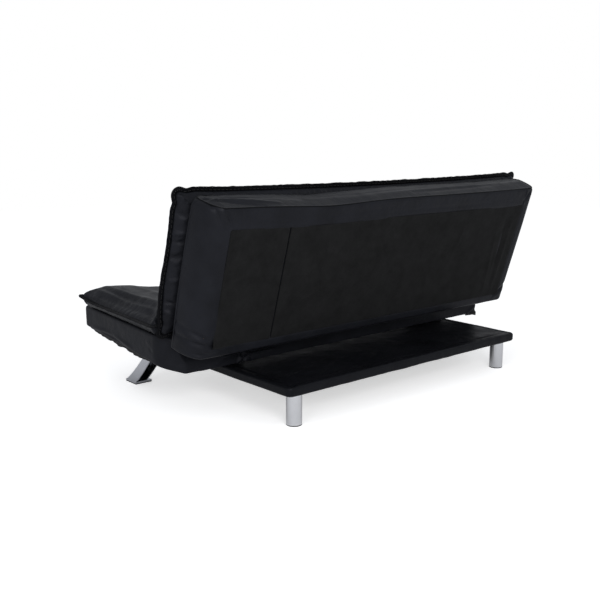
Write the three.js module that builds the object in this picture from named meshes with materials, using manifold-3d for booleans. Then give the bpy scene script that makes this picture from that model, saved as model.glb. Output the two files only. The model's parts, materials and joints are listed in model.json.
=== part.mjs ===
// A three-seat click clack sofa bed: a padded seat on two splayed front legs and a low rear platform,
// and a backrest that folds down on two ratchet hinges until it lies on the platform, level with the seat.
// Millimetres, +Z up. The seat faces -Y, and left is +X. The origin is on the floor under the middle.
import * as THREE from "three";
import { mergeVertices } from "three/addons/utils/BufferGeometryUtils.js";
import Module from "manifold-3d";

const wasm = await Module();
wasm.setup();

// Whole sofa
const halfWidth = 985; // out to the corners of the pads
const overallDepth = 1056;
const frontY = -overallDepth / 2;
const rearY = overallDepth / 2;
const uprightLean = 16.5; // degrees that the backrest leans back when it stands up
const foldAngle = 90 - uprightLean; // degrees from upright to flat
const stopCount = 4; // places where the ratchet can hold, the flat one among them

// Fits
const touch = 0.3; // between pieces that lie against each other
const overrun = 40; // that a cutter runs past what it cuts
const mergeTolerance = 0.001;

// Rear platform
const platformSideInset = 305; // from the pads' corners to the platform's end
const platformHalfWidth = halfWidth - platformSideInset;
const platformDepth = 600;
const platformThickness = 41;
const platformCorner = 24;
const platformEdge = 9;
const platformPadding = 6;
const rearLegHeight = 123;
const platformTop = rearLegHeight + platformThickness;
const platformFrontY = rearY - platformDepth;

// Rear legs
const rearLegRadius = 30;
const rearLegWall = 2;
const rearLegInset = 53; // from the platform's rear edge
const rearLegSideInset = 67; // from the platform's end
const glideHeight = 4;
const glidePlug = 8;
const glideInset = 1.5;
const studRadius = 4;
const studGrip = 26; // length in the board, and in the leg

// Backrest box, measured from the hinge line: front and bottom are how far its faces are from it
const padOverhang = 42; // of the pads past the ends of the backrest box
const backHalfWidth = halfWidth - padOverhang;
const backDepth = 141;
const backLength = 574;
const backFront = 16;
const backBottom = -7;
const backCorner = 80; // round rear corners, seen from above
const backFrontCorner = 16;
const backFootCorner = 32; // round lower corners, seen from behind
const backHeadCorner = 16;
const backEdge = 12;
const backWall = 10;
const backEndPadding = 57;
const sideBand = 96; // leatherette beside the fabric panel
const topBand = 74; // leatherette above the fabric panel
const hemBand = 12; // below the fabric panel
const rearPanelThickness = 3;

// Hinge line
const flatRest = 3; // between the folded backrest and the platform
const hingeInset = 368; // in front of the platform's rear edge
const hingeY = rearY - hingeInset;
const hingeZ = platformTop + flatRest + backDepth - backFront;

// Seat box
const seatOverBack = 2; // at each end, past the backrest box
const seatRearTaper = 60; // that each rear corner draws in
const seatHalfWidth = backHalfWidth + seatOverBack;
const seatRearHalfWidth = seatHalfWidth - seatRearTaper;
const seatCornerRun = 190; // length of the round rear corners
const seatFrontCorner = 34;
const seatRise = 135; // of the lower front edge over the tops of the rear legs
const seatUnderside = rearLegHeight + seatRise;
const seatFrontHeight = 87;
const seatFrontLean = 24;
const seatKneeShare = 0.36; // of the front's height that stands upright
const seatFall = 33; // of the top, from front to rear
const seatHeel = 130; // where the underside steps down to the platform
const seatHeelRise = 31;
const seatOverPlatform = 8;
const seatRearInset = 13; // rear face in front of the hinge line
const seatTopInset = 55; // rear end of the top in front of the hinge line
const backClearance = 8; // between seat and backrest boxes at the hinge
const seatEdge = 14;
const seatWall = 12;
const seatEndPadding = 53;
const clothThickness = 2;
const seatTopY = frontY + seatFrontLean;
const seatTopZ = seatUnderside + seatFrontHeight;
const seatRearY = hingeY - seatRearInset;
const seatTopEndY = hingeY - seatTopInset;
const seatHeelY = seatRearY - seatHeel;
const seatHeelZ = platformTop + seatOverPlatform + seatHeelRise;
const seatSlope = seatFall / (seatTopEndY - seatTopY);

// Timber frames, foam and springs
const railThickness = 25;
const foamThickness = 25;
const springWire = 4;
const springLayer = springWire + 2 * touch;
const springWidth = 46;
const springTurns = 8;
const springSteps = 6; // along one turn
const springSides = 4;
const seatSpringPlaceShares = [0.2, 0.5, 0.8];
const backSpringPlaceShares = [0.34, 0.72];
const legRailWidth = 90;
const legRailHeight = 20;
const bearerWidth = 60;
const bearerInset = 40; // from the platform's end

// Pads
const padHalfWidth = halfWidth;
const padEar = 9; // how far the sides draw in between the corners
const padRoll = 95; // width of the rounded border on the face
const padUnderRoll = 50; // and on the underside
const seatPadFront = 2; // in front of the seat box's top edge
const seatPadRear = 57; // rear end in front of the hinge line
const seatPadSeam = 57; // height of the seam over the box
const seatPadSeamGain = 5; // more at the rear, and less at the front
const seatPadFrontDip = 26; // of the front seam between the corners
const seatPadCrown = 32; // over the seam
const seatPadCrownGain = 14; // more at the rear, and less at the front
const backPadStart = 14; // above the hinge line, along the backrest
const backPadEnd = 596;
const backPadSeam = 33; // height of the seam over the box
const backPadSeamGain = 14; // more at the top, and less at the bottom
const backPadCrown = 44;
const backPadCrownGain = 4; // more at the top, and less at the bottom
const plateauShare = 0.78; // of the crown that the border reaches
const boxingPower = 3; // how square the sides are under the seam: 2 is round
const borderSteps = 5;
const crossSteps = 14;
const lengthSteps = 6;

// Hinge mechanism, in planes across X, from the inside out
const hingeEndInset = 31; // of the moving plate's inner face from the seat's rear corners
const hingePlaneX = seatRearHalfWidth - hingeEndInset;
const plateThickness = 5;
const plateGap = 1;
const bossRadius = 22;
const pinRadius = 6;
const pinHeadRadius = 10;
const pinHeadHeight = 3;
const runningGap = 0.4; // between a pin and a plate that turns on it
const armWidth = 34;
const seatArmReach = 74;
const seatArmDrop = 46;
const seatFlangeLength = 190;
const backArmReach = 60;
const backArmOffset = 42;
const backFlangeLength = 150;
const ratchetTip = 44;
const ratchetRoot = 37;
const ratchetMargin = 11; // degrees of sector past the end notches
const contactAngle = 245; // degrees, where the pawl meets the ratchet
const notchMouth = 7; // half angle in degrees, at the tip radius
const notchFloor = 4.2; // half angle in degrees, at the root radius
const pawlLength = 45;
const pawlWidth = 10;
const pawlHub = 9;
const pawlLine = 57; // distance of the pawl's centre line from the hinge
const pawlRest = 0.8; // between the lifted pawl and the tooth tips
const pawlTip = 4;
const pawlPinRadius = 4;
const coilWire = 1.6;
const coilRadius = pawlPinRadius + coilWire / 2 + touch;
const coilTurns = 4;
const coilSteps = 8;
const slotWidth = 24;
const seatSlotRadius = 66;
const seatSlotReach = 84; // of the opening for the arm, in front of the hinge line
const backSlotRadius = 36;

// Front legs
const frontLegInset = 185; // of the outer face from the pads' corners
const frontLegX = halfWidth - frontLegInset;
const frontLegWidth = 54;
const frontLegFootY = -400; // middle of the foot
const frontLegFootThickness = 78; // measured along the floor
const frontLegTopThickness = 46;
const frontLegRun = 228; // how far the top is behind the foot
const frontLegBendShares = [0.36, 0.28, 0.68, 0.68]; // bends of its edges, in run and rise
const frontLegWall = 4; // of the sides of the channel
const frontLegFrontWall = 7; // of its front, measured along the floor
const footLength = 84;
const footWidth = 78;
const footHeight = 7;
const footGlide = 4;
const legPlateWidth = 84;
const legPlateLength = 120;
const legPlateThickness = 5;

const circleSegments = 24;
const curveSegments = 4;
const radians = THREE.MathUtils.degToRad;

// Materials
const finish = (color, roughness, metalness = 0) =>
  new THREE.MeshStandardMaterial({ color, roughness, metalness });
const leatherette = finish(0x1b1b1f, 0.42);
const rearFabric = finish(0x141415, 0.9);
const underCloth = finish(0x2a2a2b, 0.95);
const chrome = finish(0xd3d6da, 0.16, 1);
const steel = finish(0x6f7275, 0.45, 1);
const timber = finish(0xb58a5c, 0.75);
const stainedTimber = finish(0x1d1a18, 0.7);
const foam = finish(0xd9cfb4, 0.95);
const glidePlastic = finish(0x101011, 0.6);

const sofa = new THREE.Group();

// A closed geometry as a solid for joining and cutting.
function solidFrom(geometry) {
  geometry.deleteAttribute("normal");
  geometry.deleteAttribute("uv");
  const merged = mergeVertices(geometry, mergeTolerance);
  return new wasm.Manifold(
    new wasm.Mesh({
      numProp: 3,
      vertProperties: new Float32Array(merged.attributes.position.array),
      triVerts: new Uint32Array(merged.index.array),
    }),
  );
}

// A solid as a geometry for a mesh.
function geometryFrom(solid) {
  const mesh = solid.getMesh();
  const geometry = new THREE.BufferGeometry();
  geometry.setAttribute("position", new THREE.BufferAttribute(mesh.vertProperties, 3));
  geometry.setIndex(new THREE.BufferAttribute(mesh.triVerts, 1));
  geometry.computeVertexNormals();
  return geometry;
}

function add(group, name, solid, material) {
  const mesh = new THREE.Mesh(geometryFrom(solid), material);
  mesh.name = name;
  group.add(mesh);
}

// An outline through corners given as [a, b, corner radius].
function outline(corners) {
  const shape = new THREE.Shape();
  const point = ([a, b]) => new THREE.Vector2(a, b);
  corners.forEach((entry, i) => {
    const corner = point(entry);
    const radius = entry[2] ?? 0;
    const back = point(corners.at(i - 1)).sub(corner).normalize();
    const on = point(corners[(i + 1) % corners.length]).sub(corner).normalize();
    const halfAngle = Math.acos(back.dot(on)) / 2;
    const start = corner.clone().addScaledVector(back, radius / Math.tan(halfAngle));
    if (i === 0) shape.moveTo(start.x, start.y);
    else shape.lineTo(start.x, start.y);
    if (radius === 0) return;
    const inward = back.clone().add(on).normalize();
    const centre = corner.clone().addScaledVector(inward, radius / Math.sin(halfAngle));
    const end = corner.clone().addScaledVector(on, radius / Math.tan(halfAngle));
    const from = start.sub(centre).angle();
    const to = end.sub(centre).angle();
    shape.absarc(centre.x, centre.y, radius, from, to, back.cross(on) > 0);
  });
  shape.closePath();
  return shape;
}

const rectangle = (a0, a1, b0, b1, radius = 0) =>
  outline([
    [a0, b0, radius],
    [a1, b0, radius],
    [a1, b1, radius],
    [a0, b1, radius],
  ]);

function disc(a, b, radius) {
  const shape = new THREE.Shape();
  shape.absarc(a, b, radius, 0, 2 * Math.PI);
  return shape;
}

const drawnIn = {
  YZ: new THREE.Matrix4().makeBasis(
    new THREE.Vector3(0, 1, 0),
    new THREE.Vector3(0, 0, 1),
    new THREE.Vector3(1, 0, 0),
  ),
  XZ: new THREE.Matrix4().makeBasis(
    new THREE.Vector3(1, 0, 0),
    new THREE.Vector3(0, 0, 1),
    new THREE.Vector3(0, -1, 0),
  ),
  XY: new THREE.Matrix4(),
};

// An outline drawn in one plane and run from one place to another along the axis across it.
function prism(shape, plane, from, to, segments = curveSegments) {
  const geometry = new THREE.ExtrudeGeometry(shape, {
    depth: to - from,
    bevelEnabled: false,
    curveSegments: segments,
  });
  geometry.translate(0, 0, plane === "XZ" ? -to : from);
  geometry.applyMatrix4(drawnIn[plane]);
  return solidFrom(geometry);
}

const block = (x0, x1, y0, y1, z0, z1) => prism(rectangle(x0, x1, y0, y1), "XY", z0, z1);

const rodAlongX = (x0, x1, y, z, radius) =>
  prism(disc(y, z, radius), "YZ", x0, x1, circleSegments / 2);

// A profile of [radius, height] turned round an upright axis.
function turned(profile, x, y, z) {
  const points = profile.map(([radius, height]) => new THREE.Vector2(radius, height));
  const geometry = new THREE.LatheGeometry(points, circleSegments);
  geometry.rotateX(Math.PI / 2);
  geometry.translate(x, y, z);
  return solidFrom(geometry);
}

const sides = [
  { name: "left", sign: 1 },
  { name: "right", sign: -1 },
];

// A solid made for the left side, for either side.
const onSide = (solid, sign) => (sign > 0 ? solid : solid.mirror([1, 0, 0]));

// The backrest's parts are drawn upright on the hinge line and leaned back together.
const backrest = new THREE.Group();
backrest.position.set(0, hingeY, hingeZ);
backrest.rotation.x = -radians(uprightLean);
sofa.add(backrest);

// Height of the backrest's lower face when it stands up.
function backUndersideZ(y) {
  const lean = radians(uprightLean);
  return hingeZ + (backBottom - (y - hingeY) * Math.sin(lean)) / Math.cos(lean);
}

const seatTopAt = (y) => seatTopZ - (y - seatTopY) * seatSlope;

// The front stands upright as far as the knee, and leans back from there.
const seatKneeZ = seatUnderside + seatFrontHeight * seatKneeShare;
const seatFrontAt = (z) => frontY + (seatFrontLean * (z - seatKneeZ)) / (seatTopZ - seatKneeZ);

// The underside falls to the heel, and from there more steeply to the rear.
function seatUndersideAt(y) {
  const rise = y < seatHeelY ? seatUnderside - seatHeelZ : seatHeelRise;
  const run = y < seatHeelY ? seatHeelY - frontY : seatHeel;
  return seatHeelZ + (rise * (seatHeelY - y)) / run;
}

// The seat box seen from its end. The outline moves in by a wall, down by a drop and up by a lift.
function seatProfile(wall, drop, lift) {
  const low = seatUnderside + lift;
  const high = seatTopZ - drop;
  const lipY = hingeY - backFront - touch;
  return outline([
    [frontY + wall, low, seatEdge],
    [frontY + wall, seatKneeZ],
    [seatFrontAt(high) + wall, high, seatEdge],
    [seatTopEndY - wall, seatTopAt(seatTopEndY) - drop, seatEdge],
    [lipY - wall, backUndersideZ(lipY) - backClearance - drop],
    [seatRearY - wall, backUndersideZ(seatRearY) - backClearance - drop],
    [seatRearY - wall, seatUndersideAt(seatRearY - wall) + lift],
    [seatHeelY, seatHeelZ + lift],
  ]);
}

function seatPlan(halfWidth, rearHalfWidth, front, rear) {
  const half = [
    [halfWidth, front, seatFrontCorner],
    [halfWidth, rear - seatCornerRun / 2, seatCornerRun / 2],
    [rearHalfWidth, rear],
  ];
  const mirrored = half.map(([x, y, radius]) => [-x, y, radius]).reverse();
  return outline([...half, ...mirrored]);
}

const seatHollowHalfWidth = seatHalfWidth - seatEndPadding;
const seatHollowRearHalfWidth = seatRearHalfWidth - seatWall - touch;

// The space inside the seat's cover, less a clearance.
function seatHollow(clearance, drop, lift) {
  const profile = seatProfile(seatWall + clearance, seatWall + drop, lift);
  const plan = seatPlan(
    seatHollowHalfWidth - clearance,
    seatHollowRearHalfWidth - clearance,
    frontY,
    seatRearY - seatWall,
  );
  const across = prism(profile, "YZ", -seatHalfWidth, seatHalfWidth);
  return across.intersect(prism(plan, "XY", 0, seatTopZ));
}

const slotX = hingePlaneX + plateThickness + plateGap / 2 - slotWidth / 2;

const hingeSlot = (y, z, radius) => rodAlongX(slotX, slotX + slotWidth, y, z, radius);

// The opening in the seat's cover for the hinge, and for the arm that holds it.
function seatSlot() {
  const arm = block(
    slotX,
    slotX + slotWidth,
    hingeY - seatSlotReach,
    hingeY,
    hingeZ - seatArmDrop,
    seatTopZ,
  );
  return hingeSlot(hingeY, hingeZ, seatSlotRadius).add(arm);
}

function seatCover() {
  const outside = prism(seatProfile(0, 0, 0), "YZ", -seatHalfWidth, seatHalfWidth).intersect(
    prism(seatPlan(seatHalfWidth, seatRearHalfWidth, frontY, seatRearY), "XY", 0, seatTopZ),
  );
  let cover = outside.subtract(seatHollow(0, 0, -overrun));
  for (const { sign } of sides) {
    cover = cover.subtract(onSide(seatSlot(), sign));
  }
  return cover;
}

const railDrop = touch + foamThickness + springLayer;
const frameLift = clothThickness + touch;
const seatInnerFrontY = frontY + seatWall + touch;
const seatInnerRearY = seatRearY - seatWall - touch;
const frontRailEndY = seatTopY + seatWall + railThickness;
const rearRailEndY = seatTopEndY - seatWall - seatEdge;
const rearRailStartY = rearRailEndY - railThickness;
const endRailX = hingePlaneX + 2 * plateThickness + plateGap + touch;

function seatFrame() {
  const space = seatHollow(touch, railDrop, frameLift);
  const within = (x0, x1, y0, y1) => space.intersect(block(x0, x1, y0, y1, 0, seatTopZ));
  const innerX = slotX - touch;
  const legRailX = frontLegX - frontLegWidth / 2 - legRailWidth / 2;
  add(
    sofa,
    "seat_front_rail",
    within(-endRailX, endRailX, frontY, frontRailEndY),
    timber,
  );
  add(sofa, "seat_rear_rail", within(-innerX, innerX, rearRailStartY, rearRailEndY), timber);
  add(
    sofa,
    "seat_centre_rail",
    within(-railThickness / 2, railThickness / 2, frontRailEndY + touch, rearRailStartY - touch),
    timber,
  );
  const boards = prism(legBoardBand(), "YZ", legRailX, legRailX + legRailWidth);
  for (const { name, sign } of sides) {
    const endRail = within(endRailX + touch, seatHalfWidth, frontY, rearY);
    add(sofa, "seat_end_rail_" + name, onSide(endRail, sign), timber);
    add(sofa, "seat_leg_board_" + name, onSide(boards, sign), timber);
  }
}

// A layer on the underside, between the front and rear rails or the walls, seen from its end.
function undersideLayer(startY, endY, lift, thickness) {
  const places = [startY, seatHeelY, endY].filter((y) => y <= endY);
  const at = (y, height) => [y, seatUndersideAt(y) + height];
  return outline([
    ...places.map((y) => at(y, lift)),
    ...places.reverse().map((y) => at(y, lift + thickness)),
  ]);
}

const legBoardBand = () =>
  undersideLayer(frontRailEndY + touch, rearRailStartY - touch, frameLift, legRailHeight);

function dustCloth() {
  const band = undersideLayer(seatInnerFrontY + touch, seatInnerRearY, 0, clothThickness);
  const plan = seatPlan(
    seatHollowHalfWidth - touch,
    seatHollowRearHalfWidth - touch,
    frontY,
    seatInnerRearY,
  );
  return prism(band, "YZ", -seatHalfWidth, seatHalfWidth).intersect(
    prism(plan, "XY", 0, seatTopZ),
  );
}

// A zigzag spring of round wire, from one end to the other along Y, lying flat.
function zigzagSpring(length) {
  const points = [];
  const count = springTurns * springSteps;
  const wave = length - 2 * springWire;
  for (let i = 0; i <= count; i++) {
    const along = springWire + (wave * i) / count;
    const swing = (springWidth / 2) * Math.sin((2 * Math.PI * i) / springSteps);
    points.push(new THREE.Vector3(swing, along, 0));
  }
  const section = new THREE.Shape();
  for (let i = 0; i < springSides; i++) {
    const turn = (2 * Math.PI * (i + 1 / 2)) / springSides;
    const x = (springWire / 2) * Math.cos(turn);
    const y = (springWire / 2) * Math.sin(turn);
    if (i === 0) section.moveTo(x, y);
    else section.lineTo(x, y);
  }
  return new THREE.ExtrudeGeometry(section, {
    steps: count,
    bevelEnabled: false,
    extrudePath: new THREE.CatmullRomCurve3(points),
  });
}

function seatSprings() {
  const length = rearRailStartY - frontRailEndY + railThickness;
  const startY = frontRailEndY - railThickness / 2;
  const height = seatTopAt(startY) - seatWall - foamThickness - springLayer / 2;
  const reach = hingePlaneX;
  let number = 1;
  for (const { sign } of sides) {
    for (const share of seatSpringPlaceShares) {
      const geometry = zigzagSpring(length);
      geometry.rotateX(-Math.atan(seatSlope));
      geometry.translate(sign * share * reach, startY, height);
      add(sofa, "seat_spring_" + number, solidFrom(geometry), steel);
      number += 1;
    }
  }
}

function seatFoam() {
  const lower = [seatInnerFrontY, seatTopEndY - seatWall].map((y) => [y, seatTopAt(y)]);
  const profile = outline([
    [lower[0][0], lower[0][1] - seatWall - foamThickness],
    [lower[1][0], lower[1][1] - seatWall - foamThickness],
    [lower[1][0], lower[1][1]],
    [lower[0][0], lower[0][1]],
  ]);
  return seatHollow(touch, touch, 0).intersect(
    prism(profile, "YZ", -seatHalfWidth, seatHalfWidth),
  );
}

// Places across a cushion, close together on its borders: on its rounded face, on its squarer underside,
// and how full each of these is there.
function stations(half, steps) {
  const station = (face, under, full, boxed) => ({ face, under, full, boxed });
  const border = [];
  for (let i = 0; i < borderSteps; i++) {
    const share = 1 - Math.cos((Math.PI / 2) * (i / borderSteps));
    const full = Math.sqrt(1 - (1 - share) ** 2);
    const boxed = (1 - (1 - share) ** boxingPower) ** (1 / boxingPower);
    border.push(station(half - padRoll * share, half - padUnderRoll * share, full, boxed));
  }
  const middle = [];
  for (let i = 0; i <= steps; i++) {
    const place = (2 * i) / steps - 1;
    middle.push(station(place * (half - padRoll), place * (half - padUnderRoll), 1, 1));
  }
  const mirrored = border.map((row) => station(-row.face, -row.under, row.full, row.boxed));
  return [...mirrored, ...middle, ...border.reverse()];
}

// A stuffed cushion of two panels sewn together round the edge. It lies on z = 0, its seam is above
// that by a height that can change along it and dip in front, and its crown is above the seam.
function cushion(length, { seam, seamGain, seamDip, crown, crownGain }) {
  const half = length / 2;
  const across = stations(padHalfWidth, crossSteps);
  const along = stations(half, lengthSteps);
  const columns = across.length;
  const rows = along.length;
  const positions = [];
  const index = [];
  const top = [];
  const bottom = [];
  const push = (x, y, z) => positions.push(x, y, z) / 3 - 1;
  along.forEach((v, j) => {
    across.forEach((u, i) => {
      const full = u.full * v.full;
      const boxed = u.boxed * v.boxed;
      const place = (x, y) => {
        const xShare = x / padHalfWidth;
        const yShare = y / half;
        const dip = seamDip * (1 - xShare ** 6) * Math.max(0, -yShare) ** 4;
        return {
          x: x - padEar * xShare ** 3 * (1 - yShare ** 6),
          y: y - padEar * yShare ** 3 * (1 - xShare ** 12),
          seamZ: seam + seamGain * yShare - dip,
          swell: plateauShare + (1 - plateauShare) * (1 - xShare ** 2) * (1 - yShare ** 2),
          crown: crown + crownGain * yShare,
        };
      };
      const face = place(u.face, v.face);
      const under = place(u.under, v.under);
      const edge = i === 0 || j === 0 || i === columns - 1 || j === rows - 1;
      top.push(push(face.x, face.y, face.seamZ + (edge ? 0 : face.crown * full * face.swell)));
      const underZ = touch + (under.seamZ - touch) * (1 - boxed);
      bottom.push(edge ? top.at(-1) : push(under.x, under.y, underZ));
    });
  });
  for (let j = 0; j < rows - 1; j++) {
    for (let i = 0; i < columns - 1; i++) {
      const a = j * columns + i;
      const [b, c, d] = [a + 1, a + columns + 1, a + columns];
      index.push(top[a], top[b], top[c], top[a], top[c], top[d]);
      index.push(bottom[a], bottom[c], bottom[b], bottom[a], bottom[d], bottom[c]);
    }
  }
  const geometry = new THREE.BufferGeometry();
  geometry.setAttribute("position", new THREE.Float32BufferAttribute(positions, 3));
  geometry.setIndex(index);
  return geometry;
}

function seatPad() {
  const startY = seatTopY - seatPadFront;
  const endY = hingeY - seatPadRear;
  const length = (endY - startY) / Math.cos(Math.atan(seatSlope));
  const geometry = cushion(length, {
    seam: seatPadSeam,
    seamGain: seatPadSeamGain,
    seamDip: seatPadFrontDip,
    crown: seatPadCrown,
    crownGain: seatPadCrownGain,
  });
  geometry.rotateX(-Math.atan(seatSlope));
  geometry.translate(0, (startY + endY) / 2, seatTopAt((startY + endY) / 2));
  return solidFrom(geometry);
}

function backPad() {
  const geometry = cushion(backPadEnd - backPadStart, {
    seam: backPadSeam,
    seamGain: backPadSeamGain,
    seamDip: 0,
    crown: backPadCrown,
    crownGain: backPadCrownGain,
  });
  geometry.rotateX(Math.PI / 2);
  geometry.translate(0, -backFront, (backPadStart + backPadEnd) / 2);
  return solidFrom(geometry);
}

const backTop = backBottom + backLength;
const backRear = backDepth - backFront;

// The backrest box, less a wall: seen from above, then seen from behind.
function backForm() {
  const plan = outline([
    [-backHalfWidth, -backFront, backFrontCorner],
    [backHalfWidth, -backFront, backFrontCorner],
    [backHalfWidth, backRear, backCorner],
    [-backHalfWidth, backRear, backCorner],
  ]);
  const bevelled = new THREE.ExtrudeGeometry(plan, {
    depth: backLength - 2 * backEdge,
    bevelThickness: backEdge,
    bevelSize: backEdge,
    bevelOffset: -backEdge,
    bevelSegments: 3,
    curveSegments: 8,
  });
  bevelled.translate(0, 0, backBottom + backEdge);
  const elevation = outline([
    [-backHalfWidth, backBottom, backFootCorner],
    [backHalfWidth, backBottom, backFootCorner],
    [backHalfWidth, backTop, backHeadCorner],
    [-backHalfWidth, backTop, backHeadCorner],
  ]);
  const across = prism(elevation, "XZ", -overrun - backFront, backRear + overrun);
  return solidFrom(bevelled).intersect(across);
}

const backHollowHalfWidth = backHalfWidth - backEndPadding;

function backHollow(clearance) {
  const inset = backWall + clearance;
  return block(
    -backHollowHalfWidth + clearance,
    backHollowHalfWidth - clearance,
    -backFront + inset,
    backRear - inset,
    backBottom + inset,
    backTop - inset,
  );
}

const rearPanel = {
  halfWidth: backHalfWidth - sideBand,
  low: backBottom + hemBand,
  high: backTop - topBand,
};

function backCover() {
  const opening = block(
    -rearPanel.halfWidth,
    rearPanel.halfWidth,
    0,
    backRear + overrun,
    rearPanel.low,
    rearPanel.high,
  );
  let cover = backForm().subtract(backHollow(0)).subtract(opening);
  for (const { sign } of sides) {
    cover = cover.subtract(onSide(hingeSlot(0, 0, backSlotRadius), sign));
  }
  return cover;
}

function backRearPanel() {
  return block(
    -rearPanel.halfWidth + touch,
    rearPanel.halfWidth - touch,
    backRear - rearPanelThickness,
    backRear,
    rearPanel.low + touch,
    rearPanel.high - touch,
  );
}

const foamBackY = -backFront + backWall + touch + foamThickness;
const backRailFrontY = foamBackY + springLayer;
const backRailRearY = backRear - backWall - touch;
const stileX = hingePlaneX + plateThickness + touch;
const backRailLow = backBottom + backWall + touch;
const backRailHigh = backTop - backWall - touch;

function backFrame() {
  const board = (x0, x1, z0, z1) => block(x0, x1, backRailFrontY, backRailRearY, z0, z1);
  const bottomRailX = hingePlaneX - touch;
  const stileLow = backSlotRadius + touch;
  const stileHigh = backRailHigh - railThickness - touch;
  const innerLow = backRailLow + railThickness + touch;
  add(
    backrest,
    "back_bottom_rail",
    board(-bottomRailX, bottomRailX, backRailLow, backRailLow + railThickness),
    timber,
  );
  add(
    backrest,
    "back_top_rail",
    board(
      -backHollowHalfWidth + touch,
      backHollowHalfWidth - touch,
      backRailHigh - railThickness,
      backRailHigh,
    ),
    timber,
  );
  add(
    backrest,
    "back_centre_stile",
    board(-railThickness / 2, railThickness / 2, innerLow, stileHigh),
    timber,
  );
  for (const { name, sign } of sides) {
    const stile = board(stileX, backHollowHalfWidth - touch, stileLow, stileHigh);
    add(backrest, "back_end_stile_" + name, onSide(stile, sign), timber);
    const panelStile = block(
      rearPanel.halfWidth - railThickness,
      rearPanel.halfWidth,
      backRailFrontY + railThickness,
      backRear - rearPanelThickness - touch,
      innerLow,
      stileHigh,
    ).intersect(backHollow(touch));
    add(backrest, "back_panel_stile_" + name, onSide(panelStile, sign), timber);
  }
}

function backSprings() {
  const start = backRailLow + railThickness / 2;
  const length = backRailHigh - railThickness / 2 - start;
  let number = 1;
  for (const { sign } of sides) {
    for (const share of backSpringPlaceShares) {
      const geometry = zigzagSpring(length);
      geometry.rotateX(Math.PI / 2);
      geometry.translate(sign * share * hingePlaneX, foamBackY + springLayer / 2, start);
      add(backrest, "back_spring_" + number, solidFrom(geometry), steel);
      number += 1;
    }
  }
}

// The foam leaves room for the arms of the hinges.
function backFoam() {
  let slab = block(
    -backHollowHalfWidth + touch,
    backHollowHalfWidth - touch,
    -backFront + backWall + touch,
    foamBackY,
    backRailLow,
    backRailHigh,
  );
  for (const { sign } of sides) {
    slab = slab.subtract(onSide(hingeSlot(0, 0, backArmReach), sign));
  }
  return slab;
}

// A point at a radius and an angle in degrees from a centre.
const polar = (y, z, radius, degrees) => [
  y + radius * Math.cos(radians(degrees)),
  z + radius * Math.sin(radians(degrees)),
];

const sectorStart = contactAngle + uprightLean - ratchetMargin;
const sectorEnd = contactAngle + uprightLean + foldAngle + ratchetMargin;

// The toothed sector, seen from the end, with one notch for each place where the backrest holds.
function ratchetOutline() {
  const points = [[0, 0]];
  points.push(polar(0, 0, ratchetTip, sectorStart));
  for (let i = 0; i < stopCount; i++) {
    const middle = contactAngle + uprightLean + (foldAngle * i) / (stopCount - 1);
    points.push(polar(0, 0, ratchetTip, middle - notchMouth));
    points.push(polar(0, 0, ratchetRoot, middle - notchFloor));
    points.push(polar(0, 0, ratchetRoot, middle + notchFloor));
    points.push(polar(0, 0, ratchetTip, middle + notchMouth));
  }
  points.push(polar(0, 0, ratchetTip, sectorEnd));
  return outline(points);
}

function backPlate() {
  const from = hingePlaneX;
  const to = hingePlaneX + plateThickness;
  const half = armWidth / 2;
  const arm = outline([
    [-half, 0],
    [half, 0],
    [backArmOffset + half, backArmReach],
    [backArmOffset + half, backArmReach + backFlangeLength, half / 2],
    [backArmOffset - half, backArmReach + backFlangeLength, half / 2],
    [backArmOffset - half, backArmReach],
  ]);
  return prism(arm, "YZ", from, to)
    .add(rodAlongX(from, to, 0, 0, bossRadius))
    .add(prism(ratchetOutline(), "YZ", from, to))
    .subtract(rodAlongX(from - overrun, to + overrun, 0, 0, pinRadius + runningGap));
}

const tangent = radians(contactAngle - 90);
const pawlContact = polar(hingeY, hingeZ, pawlLine, contactAngle);
const pawlPivot = [
  pawlContact[0] + pawlLength * Math.cos(tangent),
  pawlContact[1] + pawlLength * Math.sin(tangent),
];

function seatPlate() {
  const from = hingePlaneX + plateThickness + plateGap;
  const to = from + plateThickness;
  const half = armWidth / 2;
  const bendY = hingeY - seatArmReach;
  const bendZ = hingeZ - seatArmDrop;
  const arm = outline([
    [hingeY, hingeZ - half],
    [hingeY, hingeZ + half],
    [bendY, bendZ + half],
    [bendY - seatFlangeLength, bendZ + half, half / 2],
    [bendY - seatFlangeLength, bendZ - half, half / 2],
    [bendY, bendZ - half],
  ]);
  return prism(arm, "YZ", from, to)
    .add(rodAlongX(from, to, hingeY, hingeZ, bossRadius))
    .subtract(rodAlongX(from - overrun, to + overrun, hingeY, hingeZ, pinRadius + touch))
    .subtract(rodAlongX(from - overrun, to + overrun, ...pawlPivot, pawlPinRadius + touch));
}

// A rivet along X through both plates, with a head on each side.
function rivet(y, z, radius, headRadius) {
  const from = hingePlaneX - touch;
  const to = hingePlaneX + 2 * plateThickness + plateGap + touch;
  return rodAlongX(from - pinHeadHeight, from, y, z, headRadius)
    .add(rodAlongX(from - pinHeadHeight, to + pinHeadHeight / 2, y, z, radius))
    .add(rodAlongX(to, to + pinHeadHeight / 2, y, z, headRadius));
}

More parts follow.
